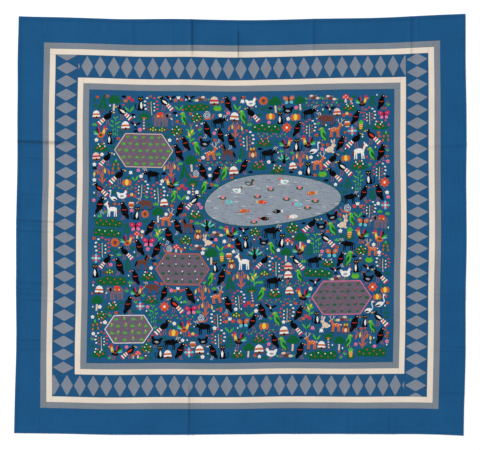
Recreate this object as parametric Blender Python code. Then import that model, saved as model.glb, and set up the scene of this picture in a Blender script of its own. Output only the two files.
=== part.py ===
"""A story cloth laid flat, face up: one embroidered field panel inside five rings of sewn strips and a border.

Run with: blender --background --python part.py
The cloth lies in the XY plane with its top edge towards +Y and its underside at z = 0. Every piece is first
built flat and square, as it was cut, and is then laid: its plan is eased to the outline that the sewn cloth
takes, and the creases and soft swells lift it off the surface. All sizes are in metres.
"""

import math
from collections import namedtuple

import bmesh
import bpy

# The whole cloth and its layers.
CLOTH_WIDTH = 2.017
CLOTH_HEIGHT = 1.873
STRIP_THICK = 0.0012
FIELD_THICK = 0.0015
SEAM_GAP = 0.0003

# The turned hem round the outer edge, which doubles the cloth.
HEM_WIDTH = 0.013
HEM_STEP = 0.002
HEM_RISE = 0.0008

# The grey lozenges sewn on the band: half their length along the strip as a share of their spacing, half their
# size across it, and the patch's height.
LOZENGE_SHARE = 0.465
LOZENGE_ACROSS = 0.0485
PATCH_RISE = 0.0005
PATCH_ROOT = 0.0006
PATCH_SHOULDER = 0.965
WANDER_ALONG = 0.0007
WANDER_ACROSS = 0.0004

# How finely a piece follows the outline, the creases and the swells.
EASE_COLUMNS = 16
EASE_ROWS = 14
LONGEST_CELL = 0.100
CLOSEST_STATIONS = 0.0013
CREASE_STATIONS = (-1, -0.4, 0, 0.4, 1)
CREASE_FADE = 0.060

# The rings, outermost first. Each corner names the side whose strip runs through it.
Ring = namedtuple("Ring", "name width cloth top_left top_right bottom_left bottom_right")
RINGS = (
    Ring("border", 0.1143, "border_blue", "left", "top", "left", "right"),
    Ring("outer_grey", 0.0270, "frame_grey", "top", "right", "left", "right"),
    Ring("outer_cream", 0.0261, "frame_cream", "top", "right", "left", "right"),
    Ring("lozenge_band", 0.1017, "band_blue", "left", "right", "bottom", "right"),
    Ring("inner_cream", 0.0252, "frame_cream", "left", "right", "left", "right"),
    Ring("inner_grey", 0.0275, "frame_grey", "left", "top", "left", "right"),
)

# The lozenges of each band strip. The first one's middle is measured from the strip's left or top end.
# The maker did not space them evenly: nudges says how far every fourth one is off an even spacing.
Row = namedtuple("Row", "first pitch count nudges")
LOZENGE_ROWS = {
    "top": Row(-0.0164, 0.05737, 27, (-0.0017, 0.0066, 0.0106, 0.0063, 0.0034, 0.0035, 0.0050, -0.0033)),
    "right": Row(0.0277, 0.05643, 28, (-0.0025, -0.0005, 0.0073, 0.0041, -0.0023, -0.0134, -0.0113, -0.0022)),
    "bottom": Row(0.0054, 0.05913, 28, (0.0020, 0.0018, 0.0115, 0.0106, 0.0103, 0.0071, 0.0043, -0.0077)),
    "left": Row(-0.0020, 0.05859, 25, (0.0022, 0.0065, 0.0042, 0.0024, 0.0005, 0.0007, 0.0036)),
}
NUDGED_EVERY = 4

# The creases left by folding. One that runs along "y" stands at x = at, from y = start to y = end.
Crease = namedtuple("Crease", "along at start end height half_width fold")
CREASES = (
    Crease("y", -0.492, 0.840, 0.960, 0.0010, 0.024, "ridge"),
    Crease("y", -0.313, 0.790, 0.960, 0.0008, 0.016, "ridge"),
    Crease("y", -0.221, 0.815, 0.960, 0.0026, 0.021, "valley"),
    Crease("y", -0.014, 0.790, 0.865, 0.0016, 0.014, "valley"),
    Crease("y", 0.330, 0.820, 0.960, 0.0015, 0.022, "valley"),
    Crease("y", 0.761, 0.760, 0.960, 0.0020, 0.020, "ridge"),
    Crease("y", 0.792, 0.850, 0.960, 0.0009, 0.012, "ridge"),
    Crease("y", -0.222, -0.960, -0.750, 0.0022, 0.022, "valley"),
    Crease("y", 0.255, -0.960, -0.870, 0.0009, 0.024, "valley"),
    Crease("y", 0.495, -0.960, -0.860, 0.0014, 0.034, "valley"),
    Crease("y", 0.680, -0.960, -0.870, 0.0015, 0.034, "valley"),
    Crease("x", 0.377, -1.030, -0.830, 0.0024, 0.024, "ridge"),
    Crease("x", 0.297, -0.935, -0.915, 0.0011, 0.018, "valley"),
    Crease("x", 0.143, -1.030, -0.900, 0.0008, 0.016, "ridge"),
    Crease("x", 0.014, -1.030, -0.840, 0.0015, 0.022, "valley"),
    Crease("x", -0.033, -1.030, -0.890, 0.0011, 0.020, "valley"),
    Crease("x", -0.269, -1.030, -0.915, 0.0018, 0.034, "valley"),
    Crease("x", -0.309, -1.030, -0.900, 0.0011, 0.022, "ridge"),
    Crease("x", -0.337, -0.960, -0.880, 0.0008, 0.014, "ridge"),
    Crease("x", -0.525, -1.030, -0.925, 0.0015, 0.028, "valley"),
    Crease("x", -0.557, -1.030, -0.900, 0.0011, 0.018, "ridge"),
    Crease("x", 0.355, 0.830, 1.030, 0.0018, 0.030, "ridge"),
    Crease("x", -0.315, 0.900, 1.030, 0.0010, 0.030, "valley"),
    Crease("x", -0.545, 0.985, 1.030, 0.0009, 0.012, "valley"),
    Crease("x", -0.566, 0.900, 1.030, 0.0009, 0.022, "valley"),
    Crease("x", -0.744, 0.930, 1.030, 0.0012, 0.024, "ridge"),
)

# Places where the sewn cloth is pulled a little in or out in plan, each strongest in its middle.
Pull = namedtuple("Pull", "x y reach_x reach_y dx dy")
PULLS = (
    Pull(-0.070, 0.690, 0.240, 0.180, 0, -0.0055),
    Pull(-0.350, 0.936, 0.260, 0.140, 0, 0.0036),
    Pull(-1.008, -0.530, 0.150, 0.280, 0.0065, 0),
    Pull(-1.008, 0.760, 0.150, 0.200, -0.0040, 0),
    Pull(0.760, 0.440, 0.300, 0.280, -0.0036, 0),
    Pull(0.720, -0.600, 0.280, 0.240, -0.0028, 0),
    Pull(-0.260, -0.936, 0.260, 0.220, 0, -0.0030),
    Pull(0.300, -0.936, 0.220, 0.220, 0, -0.0024),
)

# Places where the cloth stands a little off the surface, each a round hill.
Swell = namedtuple("Swell", "place x y reach_x reach_y height")
SWELLS = (
    Swell("upper border", -0.120, 0.880, 0.150, 0.080, 0.0022),
    Swell("upper border", 0.560, 0.885, 0.210, 0.070, 0.0018),
    Swell("lower border", 0.560, -0.880, 0.190, 0.070, 0.0024),
    Swell("lower border", -0.600, -0.885, 0.240, 0.070, 0.0016),
    Swell("left border", -0.950, -0.130, 0.075, 0.170, 0.0020),
    Swell("left border", -0.950, -0.660, 0.080, 0.160, 0.0018),
    Swell("right border", 0.955, 0.080, 0.070, 0.180, 0.0018),
    Swell("field", -0.340, 0.290, 0.280, 0.200, 0.0012),
    Swell("field", 0.330, -0.260, 0.240, 0.230, 0.0010),
)

# The cloths: colour as seen, red green blue from 0 to 255, and roughness.
Cloth = namedtuple("Cloth", "colour roughness")
CLOTHS = {
    "border_blue": Cloth((34, 85, 131), 0.86),
    "frame_grey": Cloth((126, 134, 146), 0.88),
    "frame_cream": Cloth((232, 220, 205), 0.90),
    "band_blue": Cloth((30, 82, 130), 0.86),
    "field_blue": Cloth((40, 84, 122), 0.87),
}

# A rectangle of the flat cut, and the parting between two pieces that meet on it.
Cut = namedtuple("Cut", "left right bottom top")
HALF_WIDTH = CLOTH_WIDTH / 2
HALF_HEIGHT = CLOTH_HEIGHT / 2
HALF_GAP = SEAM_GAP / 2


def between(low, high, share):
    """The value that lies that share of the way from low to high."""
    return low + (high - low) * share


def smooth_step(share):
    """0 below 0, 1 above 1, and smooth in between."""
    share = min(1.0, max(0.0, share))
    return share * share * (3 - 2 * share)


def hill(place, x, y):
    """How much of a pull or a swell is left at a point: 1 in its middle, and 0 from its reach on."""
    return 1 - smooth_step(math.hypot((x - place.x) / place.reach_x, (y - place.y) / place.reach_y))


def ease_at(x, y):
    """How far a point of the square cut moves in plan as the cloth is laid: the top edge sags between its
    corners, the lower part leans left, the right edge bows out and all the edges wave a little."""
    u = x / HALF_WIDTH
    v = y / HALF_HEIGHT
    left_edge = -0.0023 + 0.0104 * v
    right_edge = -0.0034 + 0.0034 * v + 0.0083 * (1 - v * v)
    top_edge = -0.0112 + 0.0045 * u + 0.0225 * u * u
    bottom_edge = -0.0010 + 0.0070 * u - 0.0012 * u * u - 0.0130 * u**3
    wave_x = 0.0012 * math.sin(2 * math.pi * y / 0.52 + 0.4 + 2.0 * x)
    wave_y = 0.0013 * math.sin(2 * math.pi * x / 0.55 + 1.1 + 3.0 * y)
    hills = [hill(pull, x, y) for pull in PULLS]
    return (
        between(left_edge, right_edge, (1 + u) / 2) + wave_x + sum(p.dx * h for p, h in zip(PULLS, hills)),
        between(bottom_edge, top_edge, (1 + v) / 2) + wave_y + sum(p.dy * h for p, h in zip(PULLS, hills)),
    )


EASE_X = [between(-HALF_WIDTH, HALF_WIDTH, i / EASE_COLUMNS) for i in range(EASE_COLUMNS + 1)]
EASE_Y = [between(-HALF_HEIGHT, HALF_HEIGHT, j / EASE_ROWS) for j in range(EASE_ROWS + 1)]
EASE = [[ease_at(x, y) for y in EASE_Y] for x in EASE_X]


def eased(x, y):
    """The same movement, straight between the easing stations, so that two pieces keep the gap at their seam."""
    column = (x + HALF_WIDTH) / CLOTH_WIDTH * EASE_COLUMNS
    row = (y + HALF_HEIGHT) / CLOTH_HEIGHT * EASE_ROWS
    i = min(EASE_COLUMNS - 1, max(0, math.floor(column)))
    j = min(EASE_ROWS - 1, max(0, math.floor(row)))
    return tuple(
        between(
            between(EASE[i][j][axis], EASE[i + 1][j][axis], column - i),
            between(EASE[i][j + 1][axis], EASE[i + 1][j + 1][axis], column - i),
            row - j,
        )
        for axis in (0, 1)
    )


def outline_middle():
    """The middle of the laid cloth's bounding box, which becomes the origin."""
    xs = [x + EASE[i][j][0] for i, x in enumerate(EASE_X) for j in range(EASE_ROWS + 1)]
    ys = [y + EASE[i][j][1] for i in range(EASE_COLUMNS + 1) for j, y in enumerate(EASE_Y)]
    return (min(xs) + max(xs)) / 2, (min(ys) + max(ys)) / 2


MIDDLE_X, MIDDLE_Y = outline_middle()


def crease_lift(crease, x, y):
    """The height of one crease at a point. A ridge is a tent with hollow sides. A valley is a trough between two
    low shoulders. Both fade out past their two ends."""
    off, run = (x - crease.at, y) if crease.along == "y" else (y - crease.at, x)
    share = abs(off) / crease.half_width
    if share >= 1:
        return 0.0
    from_start = smooth_step((run - crease.start) / CREASE_FADE + 1)
    from_end = smooth_step((crease.end - run) / CREASE_FADE + 1)
    profile = (1 - share) ** 2 if crease.fold == "ridge" else 6.75 * share * (1 - share) ** 2
    return crease.height * profile * from_start * from_end


def lift(x, y):
    """How far the underside stands off the surface, which is 0 where the cloth lies flat."""
    return max(crease_lift(c, x, y) for c in CREASES) + max(s.height * hill(s, x, y) for s in SWELLS)


def hem_rise(x, y):
    """The second layer of the hem, above the strip's own thickness."""
    inside = min(HALF_WIDTH - abs(x), HALF_HEIGHT - abs(y))
    return HEM_RISE * (1 - smooth_step((inside - HEM_WIDTH) / HEM_STEP))


def lay(obj):
    """Moves every vertex of a flat piece to its place in the laid cloth."""
    for vertex in obj.data.vertices:
        x, y, z = vertex.co
        dx, dy = eased(x, y)
        vertex.co = (x + dx - MIDDLE_X, y + dy - MIDDLE_Y, z + lift(x, y))
    obj.data.update()


def reaches(crease, cut):
    """Whether a crease, with its fade, comes into a piece's rectangle."""
    low, high = (cut.bottom, cut.top) if crease.along == "y" else (cut.left, cut.right)
    return crease.start - CREASE_FADE < high and crease.end + CREASE_FADE > low


def stations(cut, axis):
    """The places along one axis where a piece has a line of vertices: its ends, the easing stations, the hem's
    step and the foot and top of each crease that reaches it, and more so that no cell is too long."""
    low, high, half, eases = (
        (cut.left, cut.right, HALF_WIDTH, EASE_X) if axis == "x" else (cut.bottom, cut.top, HALF_HEIGHT, EASE_Y)
    )
    wanted = [sign * (half - inside) for inside in (HEM_WIDTH, HEM_WIDTH + HEM_STEP) for sign in (-1, 1)]
    for crease in CREASES:
        if crease.along != axis and reaches(crease, cut):
            wanted += [crease.at + crease.half_width * share for share in CREASE_STATIONS]
    places = [low] + [ease for ease in eases if low + HEM_STEP < ease < high - HEM_STEP] + [high]
    for place in wanted:
        if low < place < high and min(abs(place - other) for other in places) > CLOSEST_STATIONS:
            places.append(place)
    places.sort()
    filled = []
    for near, far in zip(places, places[1:]):
        steps = math.ceil((far - near) / LONGEST_CELL)
        filled += [between(near, far, i / steps) for i in range(steps)]
    return filled + [high]


def object_of(bm, name):
    """A new object in the cloth's collection, holding the mesh that was built."""
    mesh = bpy.data.meshes.new(name)
    bm.to_mesh(mesh)
    bm.free()
    obj = bpy.data.objects.new(name, mesh)
    PIECES.objects.link(obj)
    return obj


def slab(name, cut, thick):
    """A flat piece of cloth as a closed slab, with a grid of vertices at its stations."""
    xs = stations(cut, "x")
    ys = stations(cut, "y")
    bm = bmesh.new()
    bmesh.ops.create_grid(bm, x_segments=len(xs) - 1, y_segments=len(ys) - 1, size=1.0)
    for vertex in bm.verts:
        column = round((vertex.co.x + 1) / 2 * (len(xs) - 1))
        row = round((vertex.co.y + 1) / 2 * (len(ys) - 1))
        vertex.co = (xs[column], ys[row], 0)
    face = bmesh.ops.extrude_face_region(bm, geom=bm.faces[:])
    for vertex in face["geom"]:
        if isinstance(vertex, bmesh.types.BMVert):
            vertex.co.z = thick + hem_rise(vertex.co.x, vertex.co.y)
    bmesh.ops.recalc_face_normals(bm, faces=bm.faces[:])
    return object_of(bm, name)


def strip_cut(ring, outer, side):
    """The rectangle of one strip, whose outer edge lies at the inset outer from the cloth's edge."""
    inner = outer + ring.width

    def end(corner):
        """A strip that runs through a corner ends at the ring's outer edge, and the other at its inner edge."""
        return outer if getattr(ring, corner) == side else inner

    if side in ("top", "bottom"):
        sign = 1 if side == "top" else -1
        edges = sorted((sign * (HALF_HEIGHT - inner), sign * (HALF_HEIGHT - outer)))
        cut = (-HALF_WIDTH + end(side + "_left"), HALF_WIDTH - end(side + "_right"), *edges)
    else:
        sign = 1 if side == "right" else -1
        edges = sorted((sign * (HALF_WIDTH - inner), sign * (HALF_WIDTH - outer)))
        cut = (*edges, -HALF_HEIGHT + end("bottom_" + side), HALF_HEIGHT - end("top_" + side))
    left, right, bottom, top = cut
    return Cut(
        max(-HALF_WIDTH, left + HALF_GAP),
        min(HALF_WIDTH, right - HALF_GAP),
        max(-HALF_HEIGHT, bottom + HALF_GAP),
        min(HALF_HEIGHT, top - HALF_GAP),
    )


def trim(bm, axis, place, sign):
    """Cuts off what lies past a place along an axis, and closes the cut."""
    normal = (sign, 0, 0) if axis == "x" else (0, sign, 0)
    point = (place, 0, 0) if axis == "x" else (0, place, 0)
    geometry = bm.verts[:] + bm.edges[:] + bm.faces[:]
    made = bmesh.ops.bisect_plane(bm, geom=geometry, plane_co=point, plane_no=normal, clear_outer=True)
    bmesh.ops.holes_fill(bm, edges=[e for e in made["geom_cut"] if isinstance(e, bmesh.types.BMEdge)])


def lozenge_runs(row):
    """How far the middle of each lozenge of a row lies from its strip's left or top end."""
    runs = []
    for i in range(row.count):
        before, share = divmod(i, NUDGED_EVERY)
        nudge = between(*(row.nudges + row.nudges[-1:])[before:before + 2], share / NUDGED_EVERY)
        runs.append(row.first + i * row.pitch + nudge + WANDER_ALONG * math.sin(2.3 * i + 0.7))
    return runs


def lozenge_patches(side, cut):
    """The lozenges of one band strip as low four-sided plates, trimmed where the strip's ends cut them."""
    axis = "x" if side in ("top", "bottom") else "y"
    bm = bmesh.new()
    depth = PATCH_ROOT + PATCH_RISE
    runs = lozenge_runs(LOZENGE_ROWS[side])
    for i, run in enumerate(runs):
        before, after = max(0, i - 1), min(len(runs) - 1, i + 1)
        along = LOZENGE_SHARE * (runs[after] - runs[before]) / (after - before)
        drift = WANDER_ACROSS * math.sin(1.7 * i + 0.2)
        if axis == "x":
            centre = (cut.left + run, (cut.bottom + cut.top) / 2 + drift)
            half = (along, LOZENGE_ACROSS)
        else:
            centre = ((cut.left + cut.right) / 2 + drift, cut.top - run)
            half = (LOZENGE_ACROSS, along)
        plate = bmesh.ops.create_cone(
            bm, cap_ends=True, segments=4, radius1=1, radius2=PATCH_SHOULDER, depth=depth
        )
        for vertex in plate["verts"]:
            vertex.co.x = centre[0] + vertex.co.x * half[0]
            vertex.co.y = centre[1] + vertex.co.y * half[1]
            vertex.co.z += STRIP_THICK + PATCH_RISE - depth / 2
    low, high = (cut.left, cut.right) if axis == "x" else (cut.bottom, cut.top)
    trim(bm, axis, low + SEAM_GAP, -1)
    trim(bm, axis, high - SEAM_GAP, 1)
    bmesh.ops.recalc_face_normals(bm, faces=bm.faces[:])
    return object_of(bm, "patches_" + side)


def join(obj, other):
    """Unites other with obj, as one body, and removes other."""
    union = obj.modifiers.new("patches", "BOOLEAN")
    union.operation = "UNION"
    union.solver = "EXACT"
    union.object = other
    joined = bpy.data.meshes.new_from_object(obj.evaluated_get(bpy.context.evaluated_depsgraph_get()))
    obj.modifiers.clear()
    obj.data = joined
    bpy.data.objects.remove(other)


def linear(value):
    """One colour channel as seen, from 0 to 255, as the linear value that a shader takes."""
    value /= 255
    return value / 12.92 if value <= 0.04045 else ((value + 0.055) / 1.055) ** 2.4


def dyed_cotton(name):
    """The plain dyed cotton of one kind of piece."""
    cloth = CLOTHS[name]
    material = bpy.data.materials.new(name)
    material.use_nodes = True
    shader = material.node_tree.nodes["Principled BSDF"]
    shader.inputs["Base Color"].default_value = [linear(value) for value in cloth.colour] + [1.0]
    shader.inputs["Roughness"].default_value = cloth.roughness
    shader.inputs["Metallic"].default_value = 0.0
    return material


def dye(obj, material):
    """Gives a piece its one cloth."""
    obj.data.materials.clear()
    obj.data.materials.append(material)


def build_ring(ring, outer, material):
    """The four strips of one ring, laid."""
    for side in ("top", "right", "bottom", "left"):
        cut = strip_cut(ring, outer, side)
        strip = slab(f"{ring.name}_{side}", cut, STRIP_THICK)
        if ring.name == "lozenge_band":
            join(strip, lozenge_patches(side, cut))
        lay(strip)
        dye(strip, material)


def build_field(inset, material):
    """The field panel inside the last ring, laid."""
    half_x = HALF_WIDTH - inset - HALF_GAP
    half_y = HALF_HEIGHT - inset - HALF_GAP
    field = slab("field_panel", Cut(-half_x, half_x, -half_y, half_y), FIELD_THICK)
    lay(field)
    dye(field, material)


for old in list(bpy.data.objects):
    bpy.data.objects.remove(old)
PIECES = bpy.data.collections.new("story_cloth")
bpy.context.scene.collection.children.link(PIECES)
COTTONS = {name: dyed_cotton(name) for name in CLOTHS}
ring_inset = 0.0
for one_ring in RINGS:
    build_ring(one_ring, ring_inset, COTTONS[one_ring.cloth])
    ring_inset += one_ring.width
build_field(ring_inset, COTTONS["field_blue"])
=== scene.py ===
"""The looks of a story cloth laid flat, face up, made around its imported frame.

The cut is the cloth's flat rectangle before it was laid, with its middle at (0, 0). Every surface and
stitch is worked out on the cut and is then laid: its plan is eased to the outline of the sewn cloth, and the
creases, the swells and the layers lift it. Lengths are in metres, and in millimetres where a motif is drawn.
"""

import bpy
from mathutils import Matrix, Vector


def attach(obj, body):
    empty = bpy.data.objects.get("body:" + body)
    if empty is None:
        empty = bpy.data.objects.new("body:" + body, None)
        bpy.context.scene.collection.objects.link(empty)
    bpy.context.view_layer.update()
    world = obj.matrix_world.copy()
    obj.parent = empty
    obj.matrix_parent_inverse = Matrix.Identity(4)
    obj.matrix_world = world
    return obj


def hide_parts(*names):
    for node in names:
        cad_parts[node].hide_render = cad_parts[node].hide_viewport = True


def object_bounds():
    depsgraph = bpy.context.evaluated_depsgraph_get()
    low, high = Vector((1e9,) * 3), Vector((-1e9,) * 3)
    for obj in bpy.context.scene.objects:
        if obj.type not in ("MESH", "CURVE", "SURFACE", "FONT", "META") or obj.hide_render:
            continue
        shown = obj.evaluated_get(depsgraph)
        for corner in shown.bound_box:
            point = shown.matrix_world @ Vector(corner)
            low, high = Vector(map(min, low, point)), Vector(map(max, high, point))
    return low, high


bl_info = {
    "name": "Story cloth",
    "version": (1, 0, 0),
    "blender": (4, 5, 0),
    "location": "3D View > Sidebar > Story cloth",
    "description": "Builds the cotton, patches, sewing and embroidery of a story cloth around its frame",
    "category": "Add Mesh",
}

from collections import namedtuple

import bpy
import numpy as np
from bpy.props import FloatProperty, FloatVectorProperty, IntProperty, PointerProperty

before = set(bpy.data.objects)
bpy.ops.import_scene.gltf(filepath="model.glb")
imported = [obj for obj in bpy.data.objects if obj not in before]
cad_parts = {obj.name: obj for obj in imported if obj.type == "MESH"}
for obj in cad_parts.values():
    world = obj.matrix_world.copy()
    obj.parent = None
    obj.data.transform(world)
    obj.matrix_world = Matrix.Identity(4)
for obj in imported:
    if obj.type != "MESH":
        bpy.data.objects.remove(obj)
CAD_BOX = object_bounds()
MM = 0.001

# The cut and its layers, as the solids have them, but with pieces that meet closer at their seams.
CLOTH_WIDTH = 2.017
CLOTH_HEIGHT = 1.873
HALF_WIDTH = CLOTH_WIDTH / 2
HALF_HEIGHT = CLOTH_HEIGHT / 2
SEAM_GAP = 0.00006
HEM_WIDTH = 0.013
HEM_STEP = 0.002
EASE_COLUMNS = 16
EASE_ROWS = 14
CREASE_FADE = 0.060
CROWN_REACH = 0.012  # from a seam to the full crown of a strip
PUCKER_FADE = 0.030  # from a seam to the full puckers of the field
FIELD_SEAM_DROP = 0.0002  # how much more the field's seams roll down
GROOVE_SHARE = 0.4  # depth of the groove along the hem's stitches, as a share of its rise
GROOVE_REACH = 0.0011  # half width of that groove

# The rings of strips, outermost first. Each corner names the side whose strip runs through it.
Ring = namedtuple("Ring", "name width cloth top_left top_right bottom_left bottom_right")
RINGS = (
    Ring("border", 0.1143, "border_blue", "left", "top", "left", "right"),
    Ring("outer_grey", 0.0270, "frame_grey", "top", "right", "left", "right"),
    Ring("outer_cream", 0.0261, "frame_cream", "top", "right", "left", "right"),
    Ring("lozenge_band", 0.1017, "band_blue", "left", "right", "bottom", "right"),
    Ring("inner_cream", 0.0252, "frame_cream", "left", "right", "left", "right"),
    Ring("inner_grey", 0.0275, "frame_grey", "left", "top", "left", "right"),
)
SIDES = ("top", "right", "bottom", "left")

# The lozenges of each band strip, whose first middle is measured from its left or top end. They are not
# evenly spaced: nudges says how far every fourth one is off.
Row = namedtuple("Row", "first pitch count nudges")
LOZENGE_ROWS = {
    "top": Row(-0.0164, 0.05737, 27, (-0.0017, 0.0066, 0.0106, 0.0063, 0.0034, 0.0035, 0.0050, -0.0033)),
    "right": Row(
        0.0277, 0.05643, 28, (-0.0025, -0.0005, 0.0073, 0.0041, -0.0023, -0.0134, -0.0113, -0.0022),
    ),
    "bottom": Row(0.0054, 0.05913, 28, (0.0020, 0.0018, 0.0115, 0.0106, 0.0103, 0.0071, 0.0043, -0.0077)),
    "left": Row(-0.0020, 0.05859, 25, (0.0022, 0.0065, 0.0042, 0.0024, 0.0005, 0.0007, 0.0036)),
}
NUDGED_EVERY = 4
LOZENGE_SHARE = 0.465
LOZENGE_ACROSS = 0.0485
WANDER_ALONG = 0.0007
WANDER_ACROSS = 0.0004

# The creases left by folding. One that runs along "y" stands at x = at, from y = start to y = end, and its
# last column says how dark its line is painted: worn soil, and painted shade on the flank away from the
# light.
Crease = namedtuple("Crease", "along at start end height half_width fold soil")
CREASES = (
    Crease("y", -0.492, 0.840, 0.960, 0.0010, 0.024, "ridge", 0.2),
    Crease("y", -0.313, 0.790, 0.960, 0.0008, 0.016, "ridge", 0.1),
    Crease("y", -0.221, 0.815, 0.960, 0.0026, 0.021, "valley", 1.0),
    Crease("y", -0.014, 0.790, 0.865, 0.0016, 0.014, "valley", 1.1),
    Crease("y", 0.330, 0.820, 0.960, 0.0015, 0.022, "valley", 0.4),
    Crease("y", 0.761, 0.760, 0.960, 0.0020, 0.020, "ridge", 0.45),
    Crease("y", 0.792, 0.850, 0.960, 0.0009, 0.012, "ridge", 0.1),
    Crease("y", -0.222, -0.960, -0.750, 0.0022, 0.022, "valley", 0.6),
    Crease("y", 0.255, -0.960, -0.870, 0.0009, 0.024, "valley", 0.15),
    Crease("y", 0.495, -0.960, -0.860, 0.0014, 0.034, "valley", 0.05),
    Crease("y", 0.680, -0.960, -0.870, 0.0015, 0.034, "valley", 0.15),
    Crease("x", 0.377, -1.030, -0.830, 0.0024, 0.024, "ridge", 0.9),
    Crease("x", 0.297, -0.935, -0.915, 0.0011, 0.018, "valley", 0.3),
    Crease("x", 0.143, -1.030, -0.900, 0.0008, 0.016, "ridge", 0.15),
    Crease("x", 0.014, -1.030, -0.840, 0.0015, 0.022, "valley", 0.35),
    Crease("x", -0.033, -1.030, -0.890, 0.0011, 0.020, "valley", 0.3),
    Crease("x", -0.269, -1.030, -0.915, 0.0018, 0.034, "valley", 0.2),
    Crease("x", -0.309, -1.030, -0.900, 0.0011, 0.022, "ridge", 0.25),
    Crease("x", -0.337, -0.960, -0.880, 0.0008, 0.014, "ridge", 0.25),
    Crease("x", -0.525, -1.030, -0.925, 0.0015, 0.028, "valley", 0.2),
    Crease("x", -0.557, -1.030, -0.900, 0.0011, 0.018, "ridge", 0.25),
    Crease("x", 0.355, 0.830, 1.030, 0.0018, 0.030, "ridge", 0.2),
    Crease("x", -0.315, 0.900, 1.030, 0.0010, 0.030, "valley", 0.1),
    Crease("x", -0.545, 0.985, 1.030, 0.0009, 0.012, "valley", 0.4),
    Crease("x", -0.566, 0.900, 1.030, 0.0009, 0.022, "valley", 0.1),
    Crease("x", -0.744, 0.930, 1.030, 0.0012, 0.024, "ridge", 0.15),
)

# Where a grid has lines across a crease, as shares of its half width, and how close an even line may come to
# them, as a share of a step.
CREASE_SHARES = np.array([-1, -0.66, -0.33, -0.14, 0, 0.14, 0.33, 0.66, 1])
LEAST_STEP_SHARE = 0.35

SHADE_AND_SOIL_SHARE = 0.32  # width of a crease's soil and painted shade, as a share of its half width
SHADED_FLANK = 0.10  # how far off its line that soil and painted shade lie, toward the shaded flank, as a share of its half width
HEM_PAINTED_SHADE = 0.3  # painted shade along the hem's stitches
HEM_PAINTED_SHADE_REACH = 0.0022  # width of that painted shade

# Places where the sewn cloth is pulled a little in or out in plan, each strongest in its middle.
Pull = namedtuple("Pull", "x y reach_x reach_y dx dy")
PULLS = (
    Pull(-0.070, 0.690, 0.240, 0.180, 0, -0.0055),
    Pull(-0.350, 0.936, 0.260, 0.140, 0, 0.0036),
    Pull(-1.008, -0.530, 0.150, 0.280, 0.0065, 0),
    Pull(-1.008, 0.760, 0.150, 0.200, -0.0040, 0),
    Pull(0.760, 0.440, 0.300, 0.280, -0.0036, 0),
    Pull(0.720, -0.600, 0.280, 0.240, -0.0028, 0),
    Pull(-0.260, -0.936, 0.260, 0.220, 0, -0.0030),
    Pull(0.300, -0.936, 0.220, 0.220, 0, -0.0024),
)

# Places where the cloth stands a little off the surface, each a round hill.
Swell = namedtuple("Swell", "x y reach_x reach_y height")
SWELLS = (
    Swell(-0.120, 0.880, 0.150, 0.080, 0.0022),
    Swell(0.560, 0.885, 0.210, 0.070, 0.0018),
    Swell(0.560, -0.880, 0.190, 0.070, 0.0024),
    Swell(-0.600, -0.885, 0.240, 0.070, 0.0016),
    Swell(-0.950, -0.130, 0.075, 0.170, 0.0020),
    Swell(-0.950, -0.660, 0.080, 0.160, 0.0018),
    Swell(0.955, 0.080, 0.070, 0.180, 0.0018),
    Swell(-0.340, 0.290, 0.280, 0.200, 0.0012),
    Swell(0.330, -0.260, 0.240, 0.230, 0.0010),
)

# Long low waves of the whole cloth, and the short puckers that the embroidery draws in the field.
Wave = namedtuple("Wave", "per_x per_y phase")
CLOTH_WAVES = (Wave(3.2, 2.1, 0.3), Wave(5.3, -3.8, 1.7), Wave(1.1, 7.1, 2.2))
FIELD_WAVES = (Wave(23.0, 8.0, 0.5), Wave(-9.0, 27.0, 1.9), Wave(16.5, 15.0, 3.1))

# The photograph's frame, and where the cloth lies in it, in its pixels.
PHOTO_WIDTH = 480
PHOTO_HEIGHT = 450
PIXEL = 0.0045
CUT_MIDDLE_AT = (241.1, 225.6)

# A rectangle of the cut.
Cut = namedtuple("Cut", "left right bottom top")


def seen(red, green, blue):
    """A colour as seen, with channels from 0 to 255, as the linear values that a shader takes."""
    share = np.array([red, green, blue]) / 255
    return tuple(np.where(share <= 0.04045, share / 12.92, ((share + 0.055) / 1.055) ** 2.4).tolist())


def colour(label, red, green, blue):
    """A colour that a user may change."""
    return FloatVectorProperty(
        name=label, description=f"Colour of the {label.lower()}", subtype="COLOR", min=0, max=1,
        default=seen(red, green, blue),
    )


def length(label, about, millimetres):
    """A length that a user may change, given in millimetres."""
    return FloatProperty(name=label, description=about, unit="LENGTH", min=0, default=millimetres * MM)


class StoryClothSizes(bpy.types.PropertyGroup):
    """Sizes of the layers, the sewing and the stitches."""

    cloth_thick: length("Cloth thickness", "Thickness of one layer of cotton", 0.35)
    strip_top: length("Strip height", "Height of a strip's face over the surface", 1.05)
    field_top: length("Field height", "Height of the field panel's face over the surface", 1.25)
    seam_roll: length("Seam roll", "Width of the rounded edge at a seam", 1.6)
    seam_depth: length("Seam depth", "How far a seam's edge rolls down", 0.5)
    strip_crown: length("Strip crown", "How far a strip stands up over its seam allowances", 0.3)
    hem_radius: length("Hem radius", "Radius of the fold along the outer edge", 0.8)
    hem_rise: length("Hem rise", "Height of the hem over the rest of the strip", 0.7)
    hem_line: length("Hem line", "Distance of the hem's stitches from the outer edge", 12.4)
    wave_height: length("Wave height", "Height of the long low waves of the cloth", 0.9)
    pucker_height: length("Pucker height", "Height of the puckers among the embroidery", 0.7)
    patch_rise: length("Patch rise", "Height of a lozenge patch over its band", 0.5)
    patch_welt: length("Patch welt", "Extra height over a patch's turned edge", 0.25)
    sewing_pitch: length("Sewing pitch", "Distance from one hem stitch to the next", 4.2)
    stitch_width: length("Stitch width", "Width of one strand of embroidery floss", 1.7)
    stitch_spacing: length("Stitch spacing", "Distance from one row of stitches to the next", 1.55)
    stitch_longest: length("Longest stitch", "Longest stitch of the embroidery", 12.0)
    stitch_rise: length("Stitch rise", "Height of one stitch over the cloth", 0.5)
    weave_pitch: length("Weave pitch", "Distance from one thread of the cotton to the next", 0.42)


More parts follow.
